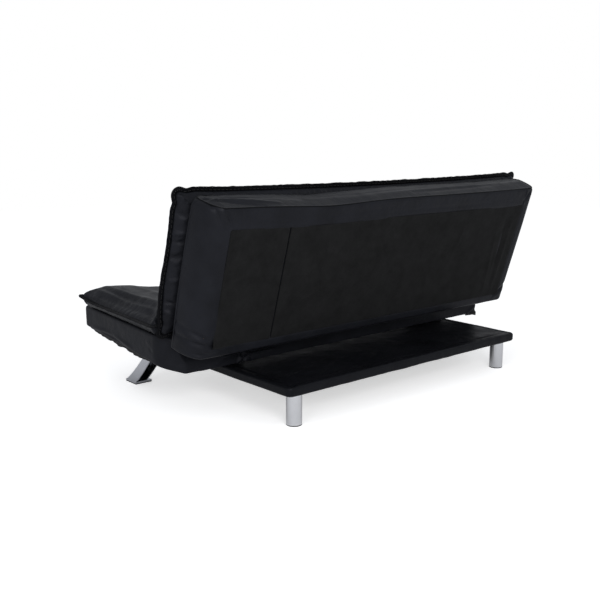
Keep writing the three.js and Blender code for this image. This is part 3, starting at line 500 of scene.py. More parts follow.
class Pad:
    """The form of a pad on z = 0: x runs along the sofa, y from its front or foot to its far end.

    seam and crown give a height and what it gains from the middle to the far end. The dips lower
    the seam along the front and both ends, and bulge lifts it along the ends. tuck is how deep the
    gathers beside the corners are drawn in, and sag how far the far edge is. ear is how much fuller
    the front corners are. boxing is how far the sides draw in under the seam, and how square they
    are: 2 is round.
    """

    def __init__(
        self, length, seam, crown, boxing,
        front_dip=0.0, end_dip=0.0, bulge=0.0, tuck=0.0, sag=0.0, ear=0.0,
    ):
        self.half = length / 2
        self.boxing = boxing
        self.seam, self.seam_gain = seam
        self.crown, self.crown_gain = crown
        self.front_dip = front_dip
        self.end_dip = end_dip
        self.bulge = bulge
        self.tuck = tuck
        self.sag = sag
        self.ear = ear

    def place(self, x, y, inset):
        """Draws the sides in between the corners, and rounds and gathers the corners."""
        x_share = x / PAD_HALF
        y_share = y / self.half
        px = x - PAD_EAR * x_share**3 * (1 - y_share**6)
        py = y - PAD_EAR * y_share**3 * (1 - x_share**12)
        py -= self.sag * max(0.0, y_share) * (1 - x_share**2)
        gap_x = PAD_HALF - abs(px)
        gap_y = self.half - abs(py)
        if gap_x < PAD_CORNER and gap_y < PAD_CORNER:
            u = 1 - gap_x / PAD_CORNER
            v = 1 - gap_y / PAD_CORNER
            gap_x = PAD_CORNER * (1 - u * math.sqrt(1 - v * v / 2))
            gap_y = PAD_CORNER * (1 - v * math.sqrt(1 - u * u / 2))
        draw_y = self.tuck * bell(gap_x, *PAD_GATHER) * y_share**8
        draw_x = self.tuck * bell(gap_y, *PAD_GATHER) * x_share**24
        draw_x += inset * abs(x_share) ** 3
        draw_y += inset * abs(y_share) ** 3
        return (
            math.copysign(PAD_HALF - gap_x - draw_x, px),
            math.copysign(self.half - gap_y - draw_y, py),
        )

    def middle_height(self, x, y):
        """The seam's height before it dips along the ends."""
        x_share = min(1.0, abs(x / PAD_HALF))
        y_share = max(-1.0, min(1.0, y / self.half))
        dip = self.front_dip * (1 - x_share**6) * max(0.0, -y_share) ** 4
        return self.seam + self.seam_gain * y_share - dip

    def seam_height(self, x, y):
        x_share = min(1.0, abs(x / PAD_HALF))
        y_share = max(-1.0, min(1.0, y / self.half))
        dip = self.end_dip * x_share**12 * (1 - max(0.0, -y_share) ** 5)
        lift = self.bulge * x_share**12 * bell(y_share, *PAD_BULGE)
        return self.middle_height(x, y) - dip + lift

    def face_height(self, x, y, full):
        x_share = x / PAD_HALF
        y_share = y / self.half
        swell = 1 - PAD_FALL + PAD_FALL * (1 - x_share**2) * (1 - y_share**2)
        top = self.middle_height(x, y) + (self.crown + self.crown_gain * y_share) * swell
        top += self.ear * bell(abs(x), *PAD_FULLNESS) * bell(y_share, middle=-1, width=0.6)
        low = self.seam_height(x, y)
        return low + (top - low) * full

    def mesh(self, name):
        across = stations(PAD_HALF, *self.boxing, border=8, middle=60)
        along = stations(self.half, *self.boxing, border=8, middle=18)
        points = []
        for y_face, y_under, y_full, y_boxed in along:
            for x_face, x_under, x_full, x_boxed in across:
                x, y = self.place(x_face, y_face, FLANGE)
                points.append((x, y, self.face_height(x_face, y_face, min(x_full, y_full))))
                x, y = self.place(x_under, y_under, FLANGE)
                base = self.seam_height(x_under, y_under)
                points.append((x, y, TOUCH + (base - TOUCH) * (1 - min(x_boxed, y_boxed))))
        return mesh_object(name, points, slab_faces(len(across), len(along), step=2, gap=1))

    def seam_path(self, inset):
        """Evenly spaced points round the seam."""
        corners = [(-1, -1), (1, -1), (1, 1), (-1, 1)]
        path = []
        for k, (a, b) in enumerate(corners):
            c, d = corners[(k + 1) % 4]
            length = 2 * (PAD_HALF if a != c else self.half)
            count = int(length / SEAM_STEP)
            for i in range(count):
                share = i / count
                x = PAD_HALF * (a + (c - a) * share)
                y = self.half * (b + (d - b) * share)
                px, py = self.place(x, y, inset)
                path.append(Vector((px, py, self.seam_height(x, y))))
        return path


def frames(path):
    """Each point of a closed path, with the directions along it, beside it and over it."""
    count = len(path)
    for i, point in enumerate(path):
        forward = (path[(i + 1) % count] - path[i - 1]).normalized()
        side = forward.cross(Vector((0, 0, 1))).normalized()
        yield point, forward, side, side.cross(forward)


def band(name, path, wide, thick, sides, lumps=0.0):
    """A sewn cord or flat flange along a closed path, uneven if it has lumps."""
    points = []
    for point, _, side, up in frames(path):
        swell = 1 + lumps * noise.noise(point / 0.023)
        for k in range(sides):
            turn = 2 * math.pi * k / sides
            offset = side * (math.cos(turn) * wide) + up * (math.sin(turn) * thick)
            points.append(point + offset * (swell / 2))
    return mesh_object(name, points, ring_faces(0, len(path), sides, closed=True))


def nearest(points, targets):
    """For each point, how far the nearest target is, and which one it is."""
    tree = kdtree.KDTree(len(targets))
    for i, target in enumerate(targets):
        tree.insert(target, i)
    tree.balance()
    found = [tree.find(p) for p in points]
    return np.array([f[2] for f in found]), np.array([f[1] for f in found])


def remesh(obj):
    modifier = obj.modifiers.new("remesh", "REMESH")
    modifier.mode = "VOXEL"
    modifier.voxel_size = VOXEL
    apply_modifiers(obj)


def inflate(obj, path, growth):
    """Swells a pad as cloth with its seam held, then limits how far any point has moved."""
    start = coordinates(obj)
    near, _ = nearest(start, path)
    held = obj.vertex_groups.new(name="held")
    for index in np.nonzero((near < VOXEL) | (start[:, 2] < TOUCH + VOXEL / 2))[0]:
        held.add([int(index)], 1.0, "REPLACE")
    cloth = obj.modifiers.new("cloth", "CLOTH")
    settings = cloth.settings
    settings.vertex_group_mass = held.name
    settings.use_pressure = True
    settings.uniform_pressure_force = CLOTH_PRESSURE
    settings.shrink_min = -growth
    settings.tension_stiffness = CLOTH_STIFFNESS
    settings.compression_stiffness = CLOTH_STIFFNESS
    settings.bending_stiffness = CLOTH_BENDING
    settings.effector_weights.gravity = 0
    cloth.point_cache.frame_start = 1
    cloth.point_cache.frame_end = CLOTH_FRAMES
    scene = bpy.context.scene
    for step in range(1, CLOTH_FRAMES + 1):
        scene.frame_set(step)
    apply_modifiers(obj)
    moved = coordinates(obj) - start
    length = np.linalg.norm(moved, axis=1)
    share = np.minimum(1, CLOTH_CAP / np.maximum(length, 1e-9))
    points = start + moved * share[:, None]
    points[:, 2] = np.maximum(points[:, 2], TOUCH)
    set_coordinates(obj, points)
    obj.vertex_groups.clear()
    scene.frame_set(1)


def puckers(obj, path, depth, reach):
    """Draws the cover in small gathers along the seam, more on the boxing than on the face."""
    points = coordinates(obj)
    near, which = nearest(points, path)
    seam = np.array(path)[which]
    spots = np.arange(len(path)) * PUCKER_PITCH
    gathers = np.array([noise.noise(Vector((a, 0.3, 0.7))) for a in spots])
    slack = np.array([noise.noise(Vector((a / 7, 5.3, 1.7))) for a in spots])
    below = np.clip((seam[:, 2] - points[:, 2]) / PUCKER_DROP, 0, 1)
    strength = depth * (0.45 + 0.9 * below) * (0.6 + slack[which])
    fade = np.exp(-((near / reach) ** 2)) * np.clip(near / PUCKER_START, 0, 1)
    moved = points + normals(obj) * (strength * gathers[which] * fade)[:, None]
    moved[:, 2] = np.maximum(moved[:, 2], np.minimum(points[:, 2], TOUCH))
    set_coordinates(obj, moved)


def press_in(obj, line):
    """Sinks a narrow groove along a line of points."""
    near, _ = nearest(coordinates(obj), line)
    push(obj, -GROOVE * np.exp(-((near / GROOVE_WIDTH) ** 2)))


def stitches(name, path):
    """Short threads along both faces of a flange, evenly spaced and thin at their ends."""
    rings = ((-1, 0.25), (-0.6, 1.0), (0.6, 1.0), (1, 0.25))
    sides = 5
    points = []
    faces = []
    travelled = 0.0
    before = path[-1]
    for point, forward, side, up in frames(path):
        travelled += (point - before).length
        before = point
        if travelled < STITCH_PITCH:
            continue
        travelled -= STITCH_PITCH
        for face in (-1, 1):
            middle = point + up * (face * FLANGE_THICKNESS / 2)
            faces += tube_faces(len(points), len(rings), sides)
            for share, thick in rings:
                centre = middle + forward * (share * STITCH_LENGTH / 2)
                for k in range(sides):
                    turn = 2 * math.pi * k / sides
                    offset = side * math.cos(turn) + up * math.sin(turn)
                    points.append(centre + offset * (STITCH_THICKNESS * thick))
    return mesh_object(name, points, faces)


def make_pad(node, body, matrix, pad, folds, pucker, growth):
    """The cushion, its sewn flange and the stitches. growth is how much the cover stretches."""
    name = node + "_cushion"
    obj = pad.mesh(name)
    path = pad.seam_path(FLANGE)
    remesh(obj)
    inflate(obj, path, growth)
    subdivide(obj)
    push(obj, fold_heights(coordinates(obj), folds))
    puckers(obj, path, pucker, reach=0.034)
    edge = pad.seam_path(FLANGE / 2)
    flange = band(name + "_flange", edge, FLANGE_WIDTH, FLANGE_THICKNESS, sides=10, lumps=0.2)
    threads = stitches(name + "_stitches", edge)
    for piece in (obj, flange, threads):
        set_coordinates(piece, local(matrix, coordinates(piece)))
    finish_piece(obj, body, PAD_SKIN, node)
    finish_piece(flange, body, PIPING_SKIN_PAINTED_SHADE)
    finish_piece(threads, body, THREAD)


SEAT_PAD_FOLDS = [
    # long slack folds that run along each end, over the border
    ((0.885, -0.25, 0.085), (0.865, 0.24, 0.092), 0.011, 0.006),
    ((0.905, -0.22, 0.08), (0.895, 0.24, 0.087), 0.008, -0.0045),
    ((0.925, -0.24, 0.078), (0.915, 0.25, 0.082), 0.009, 0.0055),
    ((0.945, -0.16, 0.066), (0.94, 0.26, 0.072), 0.01, -0.004),
    ((0.96, -0.26, 0.058), (0.96, 0.2, 0.06), 0.007, 0.004),
    ((0.8, -0.2, 0.09), (0.78, 0.2, 0.098), 0.018, 0.0035),
    ((-0.885, -0.2, 0.085), (-0.875, 0.24, 0.092), 0.012, 0.005),
    ((-0.92, -0.1, 0.078), (-0.91, 0.26, 0.082), 0.009, -0.004),
    ((-0.945, -0.22, 0.066), (-0.94, 0.18, 0.07), 0.009, 0.0045),
]
BACK_PAD_FOLDS = [
    # across the left boxing
    ((0.968, -0.06, 0.03), (0.918, -0.05, 0.006), 0.01, 0.008),
    ((0.968, 0.12, 0.036), (0.918, 0.13, 0.008), 0.009, 0.008),
    ((0.968, 0.09, 0.036), (0.918, 0.095, 0.006), 0.008, -0.008),
    ((0.968, 0.03, 0.034), (0.918, 0.04, 0.006), 0.012, -0.008),
    ((0.968, -0.14, 0.028), (0.918, -0.15, 0.004), 0.008, -0.008),
    ((0.968, -0.18, 0.028), (0.918, -0.19, 0.004), 0.009, 0.008),
    ((0.968, 0.2, 0.034), (0.918, 0.19, 0.008), 0.01, -0.006),
    # from the ear along the top boxing
    ((0.93, 0.27, 0.04), (0.62, 0.262, 0.02), 0.008, 0.0055),
    ((0.91, 0.262, 0.022), (0.55, 0.245, 0.008), 0.007, 0.005),
    ((0.9, 0.272, 0.03), (0.72, 0.266, 0.03), 0.006, -0.005),
    ((0.5, 0.262, 0.024), (-0.1, 0.258, 0.018), 0.008, 0.0035),
    ((-0.05, 0.262, 0.026), (-0.6, 0.262, 0.022), 0.008, 0.0035),
    ((0.952, 0.268, 0.042), (0.925, 0.28, 0.02), 0.007, -0.007),
    # across the right boxing
    ((-0.968, 0.08, 0.036), (-0.918, 0.09, 0.006), 0.012, -0.008),
    ((-0.968, -0.1, 0.03), (-0.918, -0.09, 0.006), 0.012, 0.008),
]


def make_pads():
    pad = Pad(
        SEAT_PAD_LENGTH, seam=(0.057, 0.005), crown=(0.032, 0.014), boxing=(0.050, 2.2),
        front_dip=0.030, end_dip=0.018, tuck=0.002, ear=0.028,
    )
    tilt = Matrix.Rotation(-SEAT_SLOPE, 4, "X")
    seat = Matrix.Translation(SEAT_PAD_START) @ tilt @ Matrix.Translation((0, pad.half, 0))
    make_pad("seat_pad", "base", seat, pad, SEAT_PAD_FOLDS, pucker=0.0012, growth=0.004)
    pad = Pad(
        BACK_PAD_LENGTH, seam=(0.033, 0.014), crown=(0.044, 0.004), boxing=(0.085, 1.45),
        bulge=0.018, tuck=0.008, sag=0.011,
    )
    upright = Matrix.Rotation(math.pi / 2, 4, "X")
    middle = Matrix.Translation((0, BACK_FRONT, BACK_PAD_START + pad.half))
    back = BACK @ middle @ upright
    make_pad("back_pad", "backrest", back, pad, BACK_PAD_FOLDS, pucker=0.0034, growth=0.014)


# Upholstered boxes


def spread(cuts, step):
    """Places from the first cut to the last, even between cuts and at most a step apart."""
    places = [cuts[0]]
    for a, b in zip(cuts, cuts[1:]):
        count = max(1, math.ceil(abs(b - a) / step))
        places += [a + (b - a) * i / count for i in range(1, count + 1)]
    return places


def rounded_loop(x_half, front, rear, front_corner, rear_corner, places, arc_count):
    """Points round a plan with round corners, with the long sides' points at the places given."""
    loop = []

    def arc(cx, cy, radii, start):
        for i in range(arc_count + 1):
            turn = start + math.pi / 2 * i / arc_count
            loop.append((cx + radii[0] * math.cos(turn), cy + radii[1] * math.sin(turn)))

    def side(x, y0, y1):
        for i in range(1, 5):
            loop.append((x, y0 + (y1 - y0) * i / 5))

    run, deep = rear_corner
    f = front_corner
    arc(x_half - run, rear - deep, rear_corner, 0)
    loop.extend((x, rear) for x in reversed(places))
    arc(-x_half + run, rear - deep, rear_corner, math.pi / 2)
    side(-x_half, rear - deep, front + f)
    arc(-x_half + f, front + f, (f, f), math.pi)
    loop.extend((x, front) for x in places)
    arc(x_half - f, front + f, (f, f), 1.5 * math.pi)
    side(x_half, front + f, rear - deep)
    return loop


def loft(name, loops, spine, rings=5):
    """A skin through loops of points. Its ends run in to a spine, and close if that is a line."""
    caps = []
    for loop, order in ((loops[0], -1), (loops[-1], 1)):
        cap = []
        for i in range(1, rings + 1):
            share = i / rings
            cap.append([p.lerp(spine(p), share) for p in loop])
        caps.append(cap[::order])
    stack = caps[0] + list(loops) + caps[1]
    points = [p for loop in stack for p in loop]
    obj = mesh_object(name, points, ring_faces(0, len(stack), len(loops[0])))
    clean(obj, 1e-5)
    return obj


def corner_inset(distance, radius):
    """How far a rounded corner stands in, at a distance from its end."""
    short = min(max(radius - distance, 0.0), radius)
    return radius - math.sqrt(radius**2 - short**2)


def levels(low, high, low_edge, high_edge, cuts=()):
    """Heights up a box, close together at both edges and with the cuts among them."""
    rises = [1 - math.cos(math.pi / 2 * i / 6) for i in range(6)]
    under = [low + low_edge * rise for rise in rises]
    over = [high - high_edge * rise for rise in reversed(rises)]
    return under + spread([low + low_edge, *cuts, high - high_edge], GRID) + over


# Folds behind and at the ends of the backrest, as seen from behind: across and up
BACK_FOLDS = [
    # lower left corner: the cover is drawn to the upright seam and down to the frame
    ((0.943, 0.11), (0.845, 0.06), 0.009, 0.0085),
    ((0.943, 0.088), (0.85, 0.048), 0.007, -0.0015),
    ((0.943, 0.066), (0.8, 0.036), 0.008, 0.0085),
    ((0.93, 0.04), (0.82, 0.022), 0.006, -0.0012),
    ((0.915, 0.018), (0.845, 0.01), 0.006, 0.0064),
    # upper left corner, under the cap's seam
    ((0.914, 0.572), (0.894, 0.52), 0.006, 0.0062),
    ((0.897, 0.568), (0.862, 0.5), 0.005, -0.0012),
    ((0.88, 0.568), (0.844, 0.512), 0.006, 0.006),
    ((0.8, 0.565), (0.79, 0.525), 0.006, 0.0024),
    ((0.74, 0.562), (0.75, 0.53), 0.005, -0.0022),
    # long slack lines along the top band
    ((0.55, 0.53), (-0.1, 0.536), 0.009, 0.002),
    ((0.2, 0.517), (-0.6, 0.52), 0.008, 0.0018),
    ((0.8, 0.508), (0.45, 0.515), 0.007, 0.0018),
    # the fabric hangs slack beside the slit, at its ends and over the hem
    ((-0.69, 0.4), (-0.72, 0.06), 0.012, 0.003),
    ((-0.74, 0.44), (-0.76, 0.1), 0.01, -0.003),
    ((-0.79, 0.42), (-0.78, 0.05), 0.011, 0.0032),
    ((0.6, 0.3), (0.66, 0.45), 0.014, 0.0024),
    ((0.64, 0.26), (0.7, 0.38), 0.01, -0.0022),
    ((0.82, 0.42), (0.7, 0.36), 0.011, 0.0026),
    ((0.82, 0.465), (0.72, 0.455), 0.008, 0.0022),
    ((0.55, 0.055), (0.3, 0.075), 0.012, 0.0024),
    ((0.84, 0.06), (0.62, 0.07), 0.009, 0.0028),
    ((0.1, 0.4), (0.02, 0.25), 0.014, 0.002),
    ((-0.2, 0.3), (-0.3, 0.12), 0.014, 0.002),
    ((-0.45, 0.44), (-0.4, 0.25), 0.013, 0.0018),
    # lower and upper right corners
    ((-0.93, 0.1), (-0.82, 0.03), 0.009, 0.006),
    ((-0.92, 0.06), (-0.8, 0.005), 0.008, -0.0012),
    ((-0.89, 0.575), (-0.84, 0.51), 0.008, 0.005),
]
# Folds of the cap, as seen from above: across and towards the rear
CAP_FOLDS = [
    ((0.9, 0.02), (0.5, 0.06), 0.009, 0.006),
    ((0.89, 0.05), (0.62, 0.09), 0.007, -0.0054),
    ((0.88, 0.07), (0.7, 0.108), 0.006, 0.0048),
    ((0.7, 0.02), (0.2, 0.05), 0.012, 0.0048),
    ((0.3, 0.06), (-0.3, 0.04), 0.012, 0.0038),
    ((-0.1, 0.08), (-0.7, 0.06), 0.01, 0.0038),
]


def rear_relief(points):
    """How far the slack rear of the backrest stands out or in at each point."""
    flat = points * (1, 0, 1)
    broad = ripple(flat, height=0.0012, size=0.28, seed=2.0)
    small = ripple(flat, height=0.0007, size=0.11, seed=7.0)
    return broad + small + fold_heights(points[:, [0, 2]], BACK_FOLDS)


def back_loop(z):
    """The backrest's plan at one height."""
    foot = corner_inset(z - BACK_LOW, BACK_FOOT_CORNER)
    head = corner_inset(BACK_HIGH - z, BACK_HEAD_CORNER)
    bottom = corner_inset(z - BACK_LOW, BACK_EDGE)
    top = corner_inset(BACK_HIGH - z, CAP_EDGE)
    inset = max(bottom, top)
    share = (z - BACK_LOW) / (BACK_HIGH - BACK_LOW)
    half = BACK_HALF + BACK_BULGE * math.sin(math.pi * share) - max(foot, head, inset)
    near, far = PANEL_HALF - BEND, PANEL_HALF + BEND
    slit = [SLIT_X + BEND * times for times in (-2, -1, 1, 2)]
    cuts = [-BACK_CORNER_START, -far, -PANEL_HALF, -near, *slit, near, PANEL_HALF, far]
    cuts.append(BACK_CORNER_START)
    places = spread(cuts, GRID)[1:-1]
    corner = (half - BACK_CORNER_START, BACK_CORNER_DEPTH - inset)
    front, rear = BACK_FRONT + inset, BACK_REAR - inset
    loop = rounded_loop(half, front, rear, BACK_FRONT_CORNER, corner, places, arc_count=20)
    return [Vector((x, y, z)) for x, y in loop]


def sag(points):
    """Lifts and drops the top of the backrest as the stuffing under it has settled."""
    depth, place, width = CAP_DENT
    x = points[:, 0]
    shift = CAP_LIFT * np.abs(x / BACK_HALF) ** 4 - depth * np.exp(-(((x - place) / width) ** 2))
    share = np.clip((points[:, 2] / BACK_HIGH - SAG_START) / (1 - SAG_START), 0, 1) ** 2
    moved = points.copy()
    moved[:, 2] += shift * share
    return moved


def back_box():
    """The backrest's cover: soft all over, with a rounded rear and a domed cap."""
    cuts = [PANEL_LOW + BEND, PANEL_HIGH - BEND, PANEL_HIGH, PANEL_HIGH + BEND]
    heights = levels(BACK_LOW, BACK_HIGH, BACK_EDGE, CAP_EDGE, cuts)
    depth = (BACK_REAR - BACK_FRONT) / 2
    middle = BACK_FRONT + depth

    def spine(p):
        reach = BACK_HALF - depth
        rise = CAP_RISE if p.z > 0.5 * BACK_HIGH else 0.0
        return Vector((max(-reach, min(reach, p.x)), middle, p.z + rise))

    obj = loft("back_box_skin", [back_loop(z) for z in heights], spine)
    subdivide(obj)
    points = coordinates(obj)
    ends = np.clip(points[:, 1] / FOLD_FADE, 0, 1)
    cap = points[:, 2] > BACK_HIGH - CAP_SEAM_DROP
    folds = ends * fold_heights(points[:, [0, 2]], BACK_FOLDS)
    folds[cap] = fold_heights(points[cap, :2], CAP_FOLDS)
    lift = folds + ripple(points, height=0.0012, size=0.11, seed=1.0)
    rear = points[:, 1] > BACK_REAR - REAR_REACH
    lift[rear] = rear_relief(points[rear])
    points = points + normals(obj) * lift[:, None]
    inside = np.minimum(PANEL_HALF - np.abs(points[:, 0]), points[:, 2] - PANEL_LOW)
    inside = np.minimum(inside, PANEL_HIGH - points[:, 2])
    sunk = PANEL_DEPTH * np.clip(inside / PANEL_SLOPE, 0, 1)
    seam = PANEL_TUCK * np.clip(1 - np.abs(inside) / BEND, 0, 1)
    slit = SLIT_DEPTH * np.clip(2 - np.abs(points[:, 0] - SLIT_X) / BEND, 0, 1) * (inside > BEND)
    points[rear, 1] -= np.maximum(np.maximum(sunk, seam), slit)[rear]
    set_coordinates(obj, points)
    path = cap_seam_path()
    puckers(obj, path, depth=0.0022, reach=0.018)
    press_in(obj, path)
    for x in (-PANEL_HALF, PANEL_HALF):
        line = np.arange(PANEL_HIGH, BACK_HIGH - CAP_EDGE, GROOVE_STEP)
        press_in(obj, [Vector((x, BACK_REAR, z)) for z in line])
    set_coordinates(obj, local(BACK, sag(coordinates(obj))))
    finish_piece(obj, "backrest", COVER, "back_box_cover")


def rear_panel():
    """The matt panel behind, slightly slack, in two widths that meet at an upright slit."""
    slit = SLIT_WIDTH / 2
    spans = [(-PANEL_HALF, SLIT_X - slit), (SLIT_X + slit, PANEL_HALF)]
    edge = PANEL_EDGE
    low, high = PANEL_LOW, PANEL_HIGH
    zs = spread([low, low + edge / 2, low + edge, high - edge, high - edge / 2, high], PANEL_GRID)
    for name, (x0, x1) in zip(("rear_panel_wide", "rear_panel_narrow"), spans):
        xs = spread([x0, x0 + edge / 2, x0 + edge, x1 - edge, x1 - edge / 2, x1], PANEL_GRID)
        columns = len(xs)
        rows = len(zs)
        points = []
        for depth in (0.0, PANEL_THICKNESS):
            for z in zs:
                for x in xs:
                    gap = min(x - x0, x1 - x, z - PANEL_LOW, PANEL_HIGH - z, edge)
                    tucked = PANEL_TUCK * (1 - gap / edge) ** 2
                    points.append((x, BACK_REAR + PANEL_PROUD - tucked - depth, z))
        size = rows * columns
        faces = slab_faces(columns, rows, step=1, gap=size)
        grid = np.arange(size).reshape(rows, columns)
        sides = (grid[0], grid[1:, -1], grid[-1, -2::-1], grid[-2:0:-1, 0])
        ring = np.concatenate(sides).tolist()
        for a, b in zip(ring, ring[1:] + ring[:1]):
            faces.append((a, b, b + size, a + size))
        obj = mesh_object(name, points, faces)
        points = coordinates(obj)
        points[:, 1] += rear_relief(points)
        set_coordinates(obj, local(BACK, sag(points)))
        finish_piece(obj, "backrest", REAR_FABRIC, "back_rear_panel")


def cap_seam_path():
    """Points along the seam round the backrest's cap."""
    return back_loop(BACK_HIGH - CAP_SEAM_DROP)


def cap_seam():
    obj = band("back_cap_seam", cap_seam_path(), CAP_SEAM, CAP_SEAM, sides=6)
    set_coordinates(obj, local(BACK, sag(coordinates(obj))))
    finish_piece(obj, "backrest", PIPING_SKIN_PAINTED_SHADE)


def height_on(profile, ys):
    return np.interp(ys, [p[0] for p in profile], [p[1] for p in profile])


def seat_plan(inset):
    """The seat box's outline from above: round front corners and tapered rear ones."""
    half = SEAT_HALF - inset
    rear_half = SEAT_REAR_HALF - inset
    front = SEAT_FRONT + inset
    rear = SEAT_REAR - inset
    r = SEAT_FRONT_CORNER - inset
    left = []
    for i in range(9):
        turn = -math.pi / 2 + math.pi / 2 * i / 8
        left.append((half - r + r * math.cos(turn), front + r + r * math.sin(turn)))
    left += [(half, y) for y in spread([front + r, SEAT_TAPER_START], GRID * 1.25)[1:]]
    run = half - rear_half
    for share in (0.2, 0.4, 0.6, 0.8, 0.94, 1.0):
        bulge = SEAT_TAPER_BULGE * math.sin(math.pi * share)
        y = SEAT_TAPER_START + (rear - SEAT_TAPER_START) * share
        left.append((half - run * share**1.2 + bulge, y))
    near = SEAT_REAR_HALF - SEAT_REAR_CORNER
    rear_side = [(x, rear) for x in spread([near, *TIE_SPAN, -near], GRID * 0.7)]
    front_side = [(x, front) for x in spread([-SEAT_FRONT_HALF, SEAT_FRONT_HALF], GRID)]
    right = [(-x, y) for x, y in reversed(left)]
    return left + rear_side + right + front_side


SEAT_FOLDS = [
    # along the lower edge of each end
    ((0.945, -0.44, 0.262), (0.945, -0.3, 0.262), 0.007, 0.0041),
    ((0.945, -0.36, 0.255), (0.945, -0.2, 0.24), 0.006, -0.0034),
    ((0.945, -0.26, 0.255), (0.945, -0.12, 0.232), 0.007, 0.0041),
    ((-0.945, -0.26, 0.255), (-0.945, -0.12, 0.232), 0.007, 0.0044),
    # drawn towards the rear corners
    ((0.945, 0.0, 0.28), (0.9, 0.12, 0.225), 0.007, 0.0041),
    ((0.945, 0.02, 0.25), (0.88, 0.14, 0.212), 0.005, -0.0041),
    ((0.94, 0.05, 0.22), (0.88, 0.14, 0.19), 0.006, 0.003),
    ((-0.94, 0.04, 0.25), (-0.88, 0.14, 0.205), 0.007, 0.0044),
    ((-0.93, 0.07, 0.22), (-0.87, 0.147, 0.185), 0.006, -0.0041),
    ((-0.87, 0.147, 0.205), (-0.8, 0.147, 0.175), 0.007, 0.0044),
    # the gather behind, where the two covers are tied together
    ((0.592, 0.147, 0.209), (0.582, 0.147, 0.203), 0.009, 0.0163),
    ((0.61, 0.147, 0.21), (0.607, 0.147, 0.196), 0.006, -0.0112),
    ((0.57, 0.147, 0.205), (0.566, 0.147, 0.194), 0.006, -0.0112),
    ((0.6, 0.147, 0.205), (0.625, 0.147, 0.172), 0.007, 0.01),
    ((0.583, 0.147, 0.198), (0.6, 0.147, 0.17), 0.006, -0.0094),
    ((0.572, 0.147, 0.2), (0.56, 0.147, 0.172), 0.006, 0.0075),
    ((0.56, 0.147, 0.208), (0.44, 0.147, 0.212), 0.006, 0.0094),
    ((0.56, 0.147, 0.196), (0.46, 0.147, 0.199), 0.006, -0.0056),
    ((0.62, 0.147, 0.208), (0.7, 0.147, 0.206), 0.006, 0.0056),
    ((0.8, 0.147, 0.17), (0.66, 0.147, 0.205), 0.008, 0.003),
]


def seat_box():
    """The seat box's cover, open under the pad and over the dust cloth."""
    loops = []
    for z in levels(0, SEAT_LOFT, SEAT_EDGE, SEAT_EDGE):
        inset = max(corner_inset(z, SEAT_EDGE), corner_inset(SEAT_LOFT - z, SEAT_EDGE))
        loops.append([Vector((x, y, z)) for x, y in seat_plan(inset)])

    def spine(p):
        half, depth = SEAT_OPENING
        return Vector((max(-half, min(half, p.x)), max(-depth, min(0.0, p.y)), p.z))

    obj = loft("seat_box_skin", loops, spine, rings=8)
    subdivide(obj)
    points = coordinates(obj)
    low = height_on(SEAT_UNDER, points[:, 1])
    high = height_on(SEAT_TOP, points[:, 1])
    points[:, 2] = low + (high - low) * points[:, 2] / SEAT_LOFT
    set_coordinates(obj, points)
    lift = fold_heights(points, SEAT_FOLDS) + ripple(points, height=0.0012, size=0.09, seed=3.0)
    set_coordinates(obj, points + normals(obj) * lift[:, None])
    finish_piece(obj, "base", COVER, "seat_box_cover")


def ruffle(name, plan, drop):
    """A slack edge of cloth that hangs a little under the seat box, along a line of its plan."""
    section = ((0, 0), (0.5, 0), (1, 0), (1, 1), (0.5, 1), (0, 1))
    points = []
    travelled = 0.0
    for i in range(1, len(plan) - 1):
        before, (x, y), after = plan[i - 1 : i + 2]
        travelled += math.dist((x, y), before)
        along = Vector((after[0] - before[0], after[1] - before[1], 0))
        out = along.cross(Vector((0, 0, 1))).normalized()
        wave = noise.noise(Vector((travelled / RUFFLE_WAVES[0], 3.0, drop * 100)))
        hang = noise.noise(Vector((travelled / RUFFLE_WAVES[1], 8.0, drop * 100)))
        ends = min(1.0, 6 * min(i, len(plan) - 1 - i) / len(plan))
        top = Vector((x, y, float(height_on(SEAT_UNDER, y)) + RUFFLE_LAP))
        for share, inner in section:
            swing = RUFFLE_SWING * wave * share - RUFFLE_THICKNESS * inner - RUFFLE_INSET
            fall = (drop * ends * (0.75 + 0.6 * hang) + RUFFLE_LAP) * share
            points.append(top + out * swing - Vector((0, 0, fall)))
    obj = mesh_object(name, points, tube_faces(0, len(plan) - 2, len(section)))
    subdivide(obj)
    finish_piece(obj, "base", DUST_CLOTH)


def ruffles():
    """The slack edges of the dust cloth: along the left end, and round the right rear corner."""
    near = [(SEAT_HALF, y) for y in np.arange(-0.48, 0.03, RUFFLE_STEP)]
    ruffle("dust_cloth_edge_left", near, drop=0.011)
    corner = spread([0.78, SEAT_REAR_HALF], RUFFLE_STEP)
    far = [(-x, SEAT_REAR) for x in corner]
    for share in np.arange(1, 21) / 20:
        x = SEAT_REAR_HALF + (SEAT_HALF - SEAT_REAR_HALF) * share
        far.append((-x, SEAT_REAR + (SEAT_TAPER_START - SEAT_REAR) * share))
    ends = np.arange(SEAT_TAPER_START - RUFFLE_STEP, -0.30, -RUFFLE_STEP)
    far += [(-SEAT_HALF, y) for y in ends]
    ruffle("dust_cloth_edge_right", far[::-1], drop=0.014)


DECK_FOLDS = [
    ((0.76, 0.49), (0.56, 0.42), 0.01, 0.0024),
    ((0.7, 0.44), (0.48, 0.38), 0.01, 0.002),
    ((0.5, 0.49), (0.3, 0.36), 0.011, 0.002),
    ((0.2, 0.46), (0.05, 0.36), 0.012, 0.0018),
    ((-0.3, 0.48), (-0.45, 0.38), 0.012, 0.0018),
]


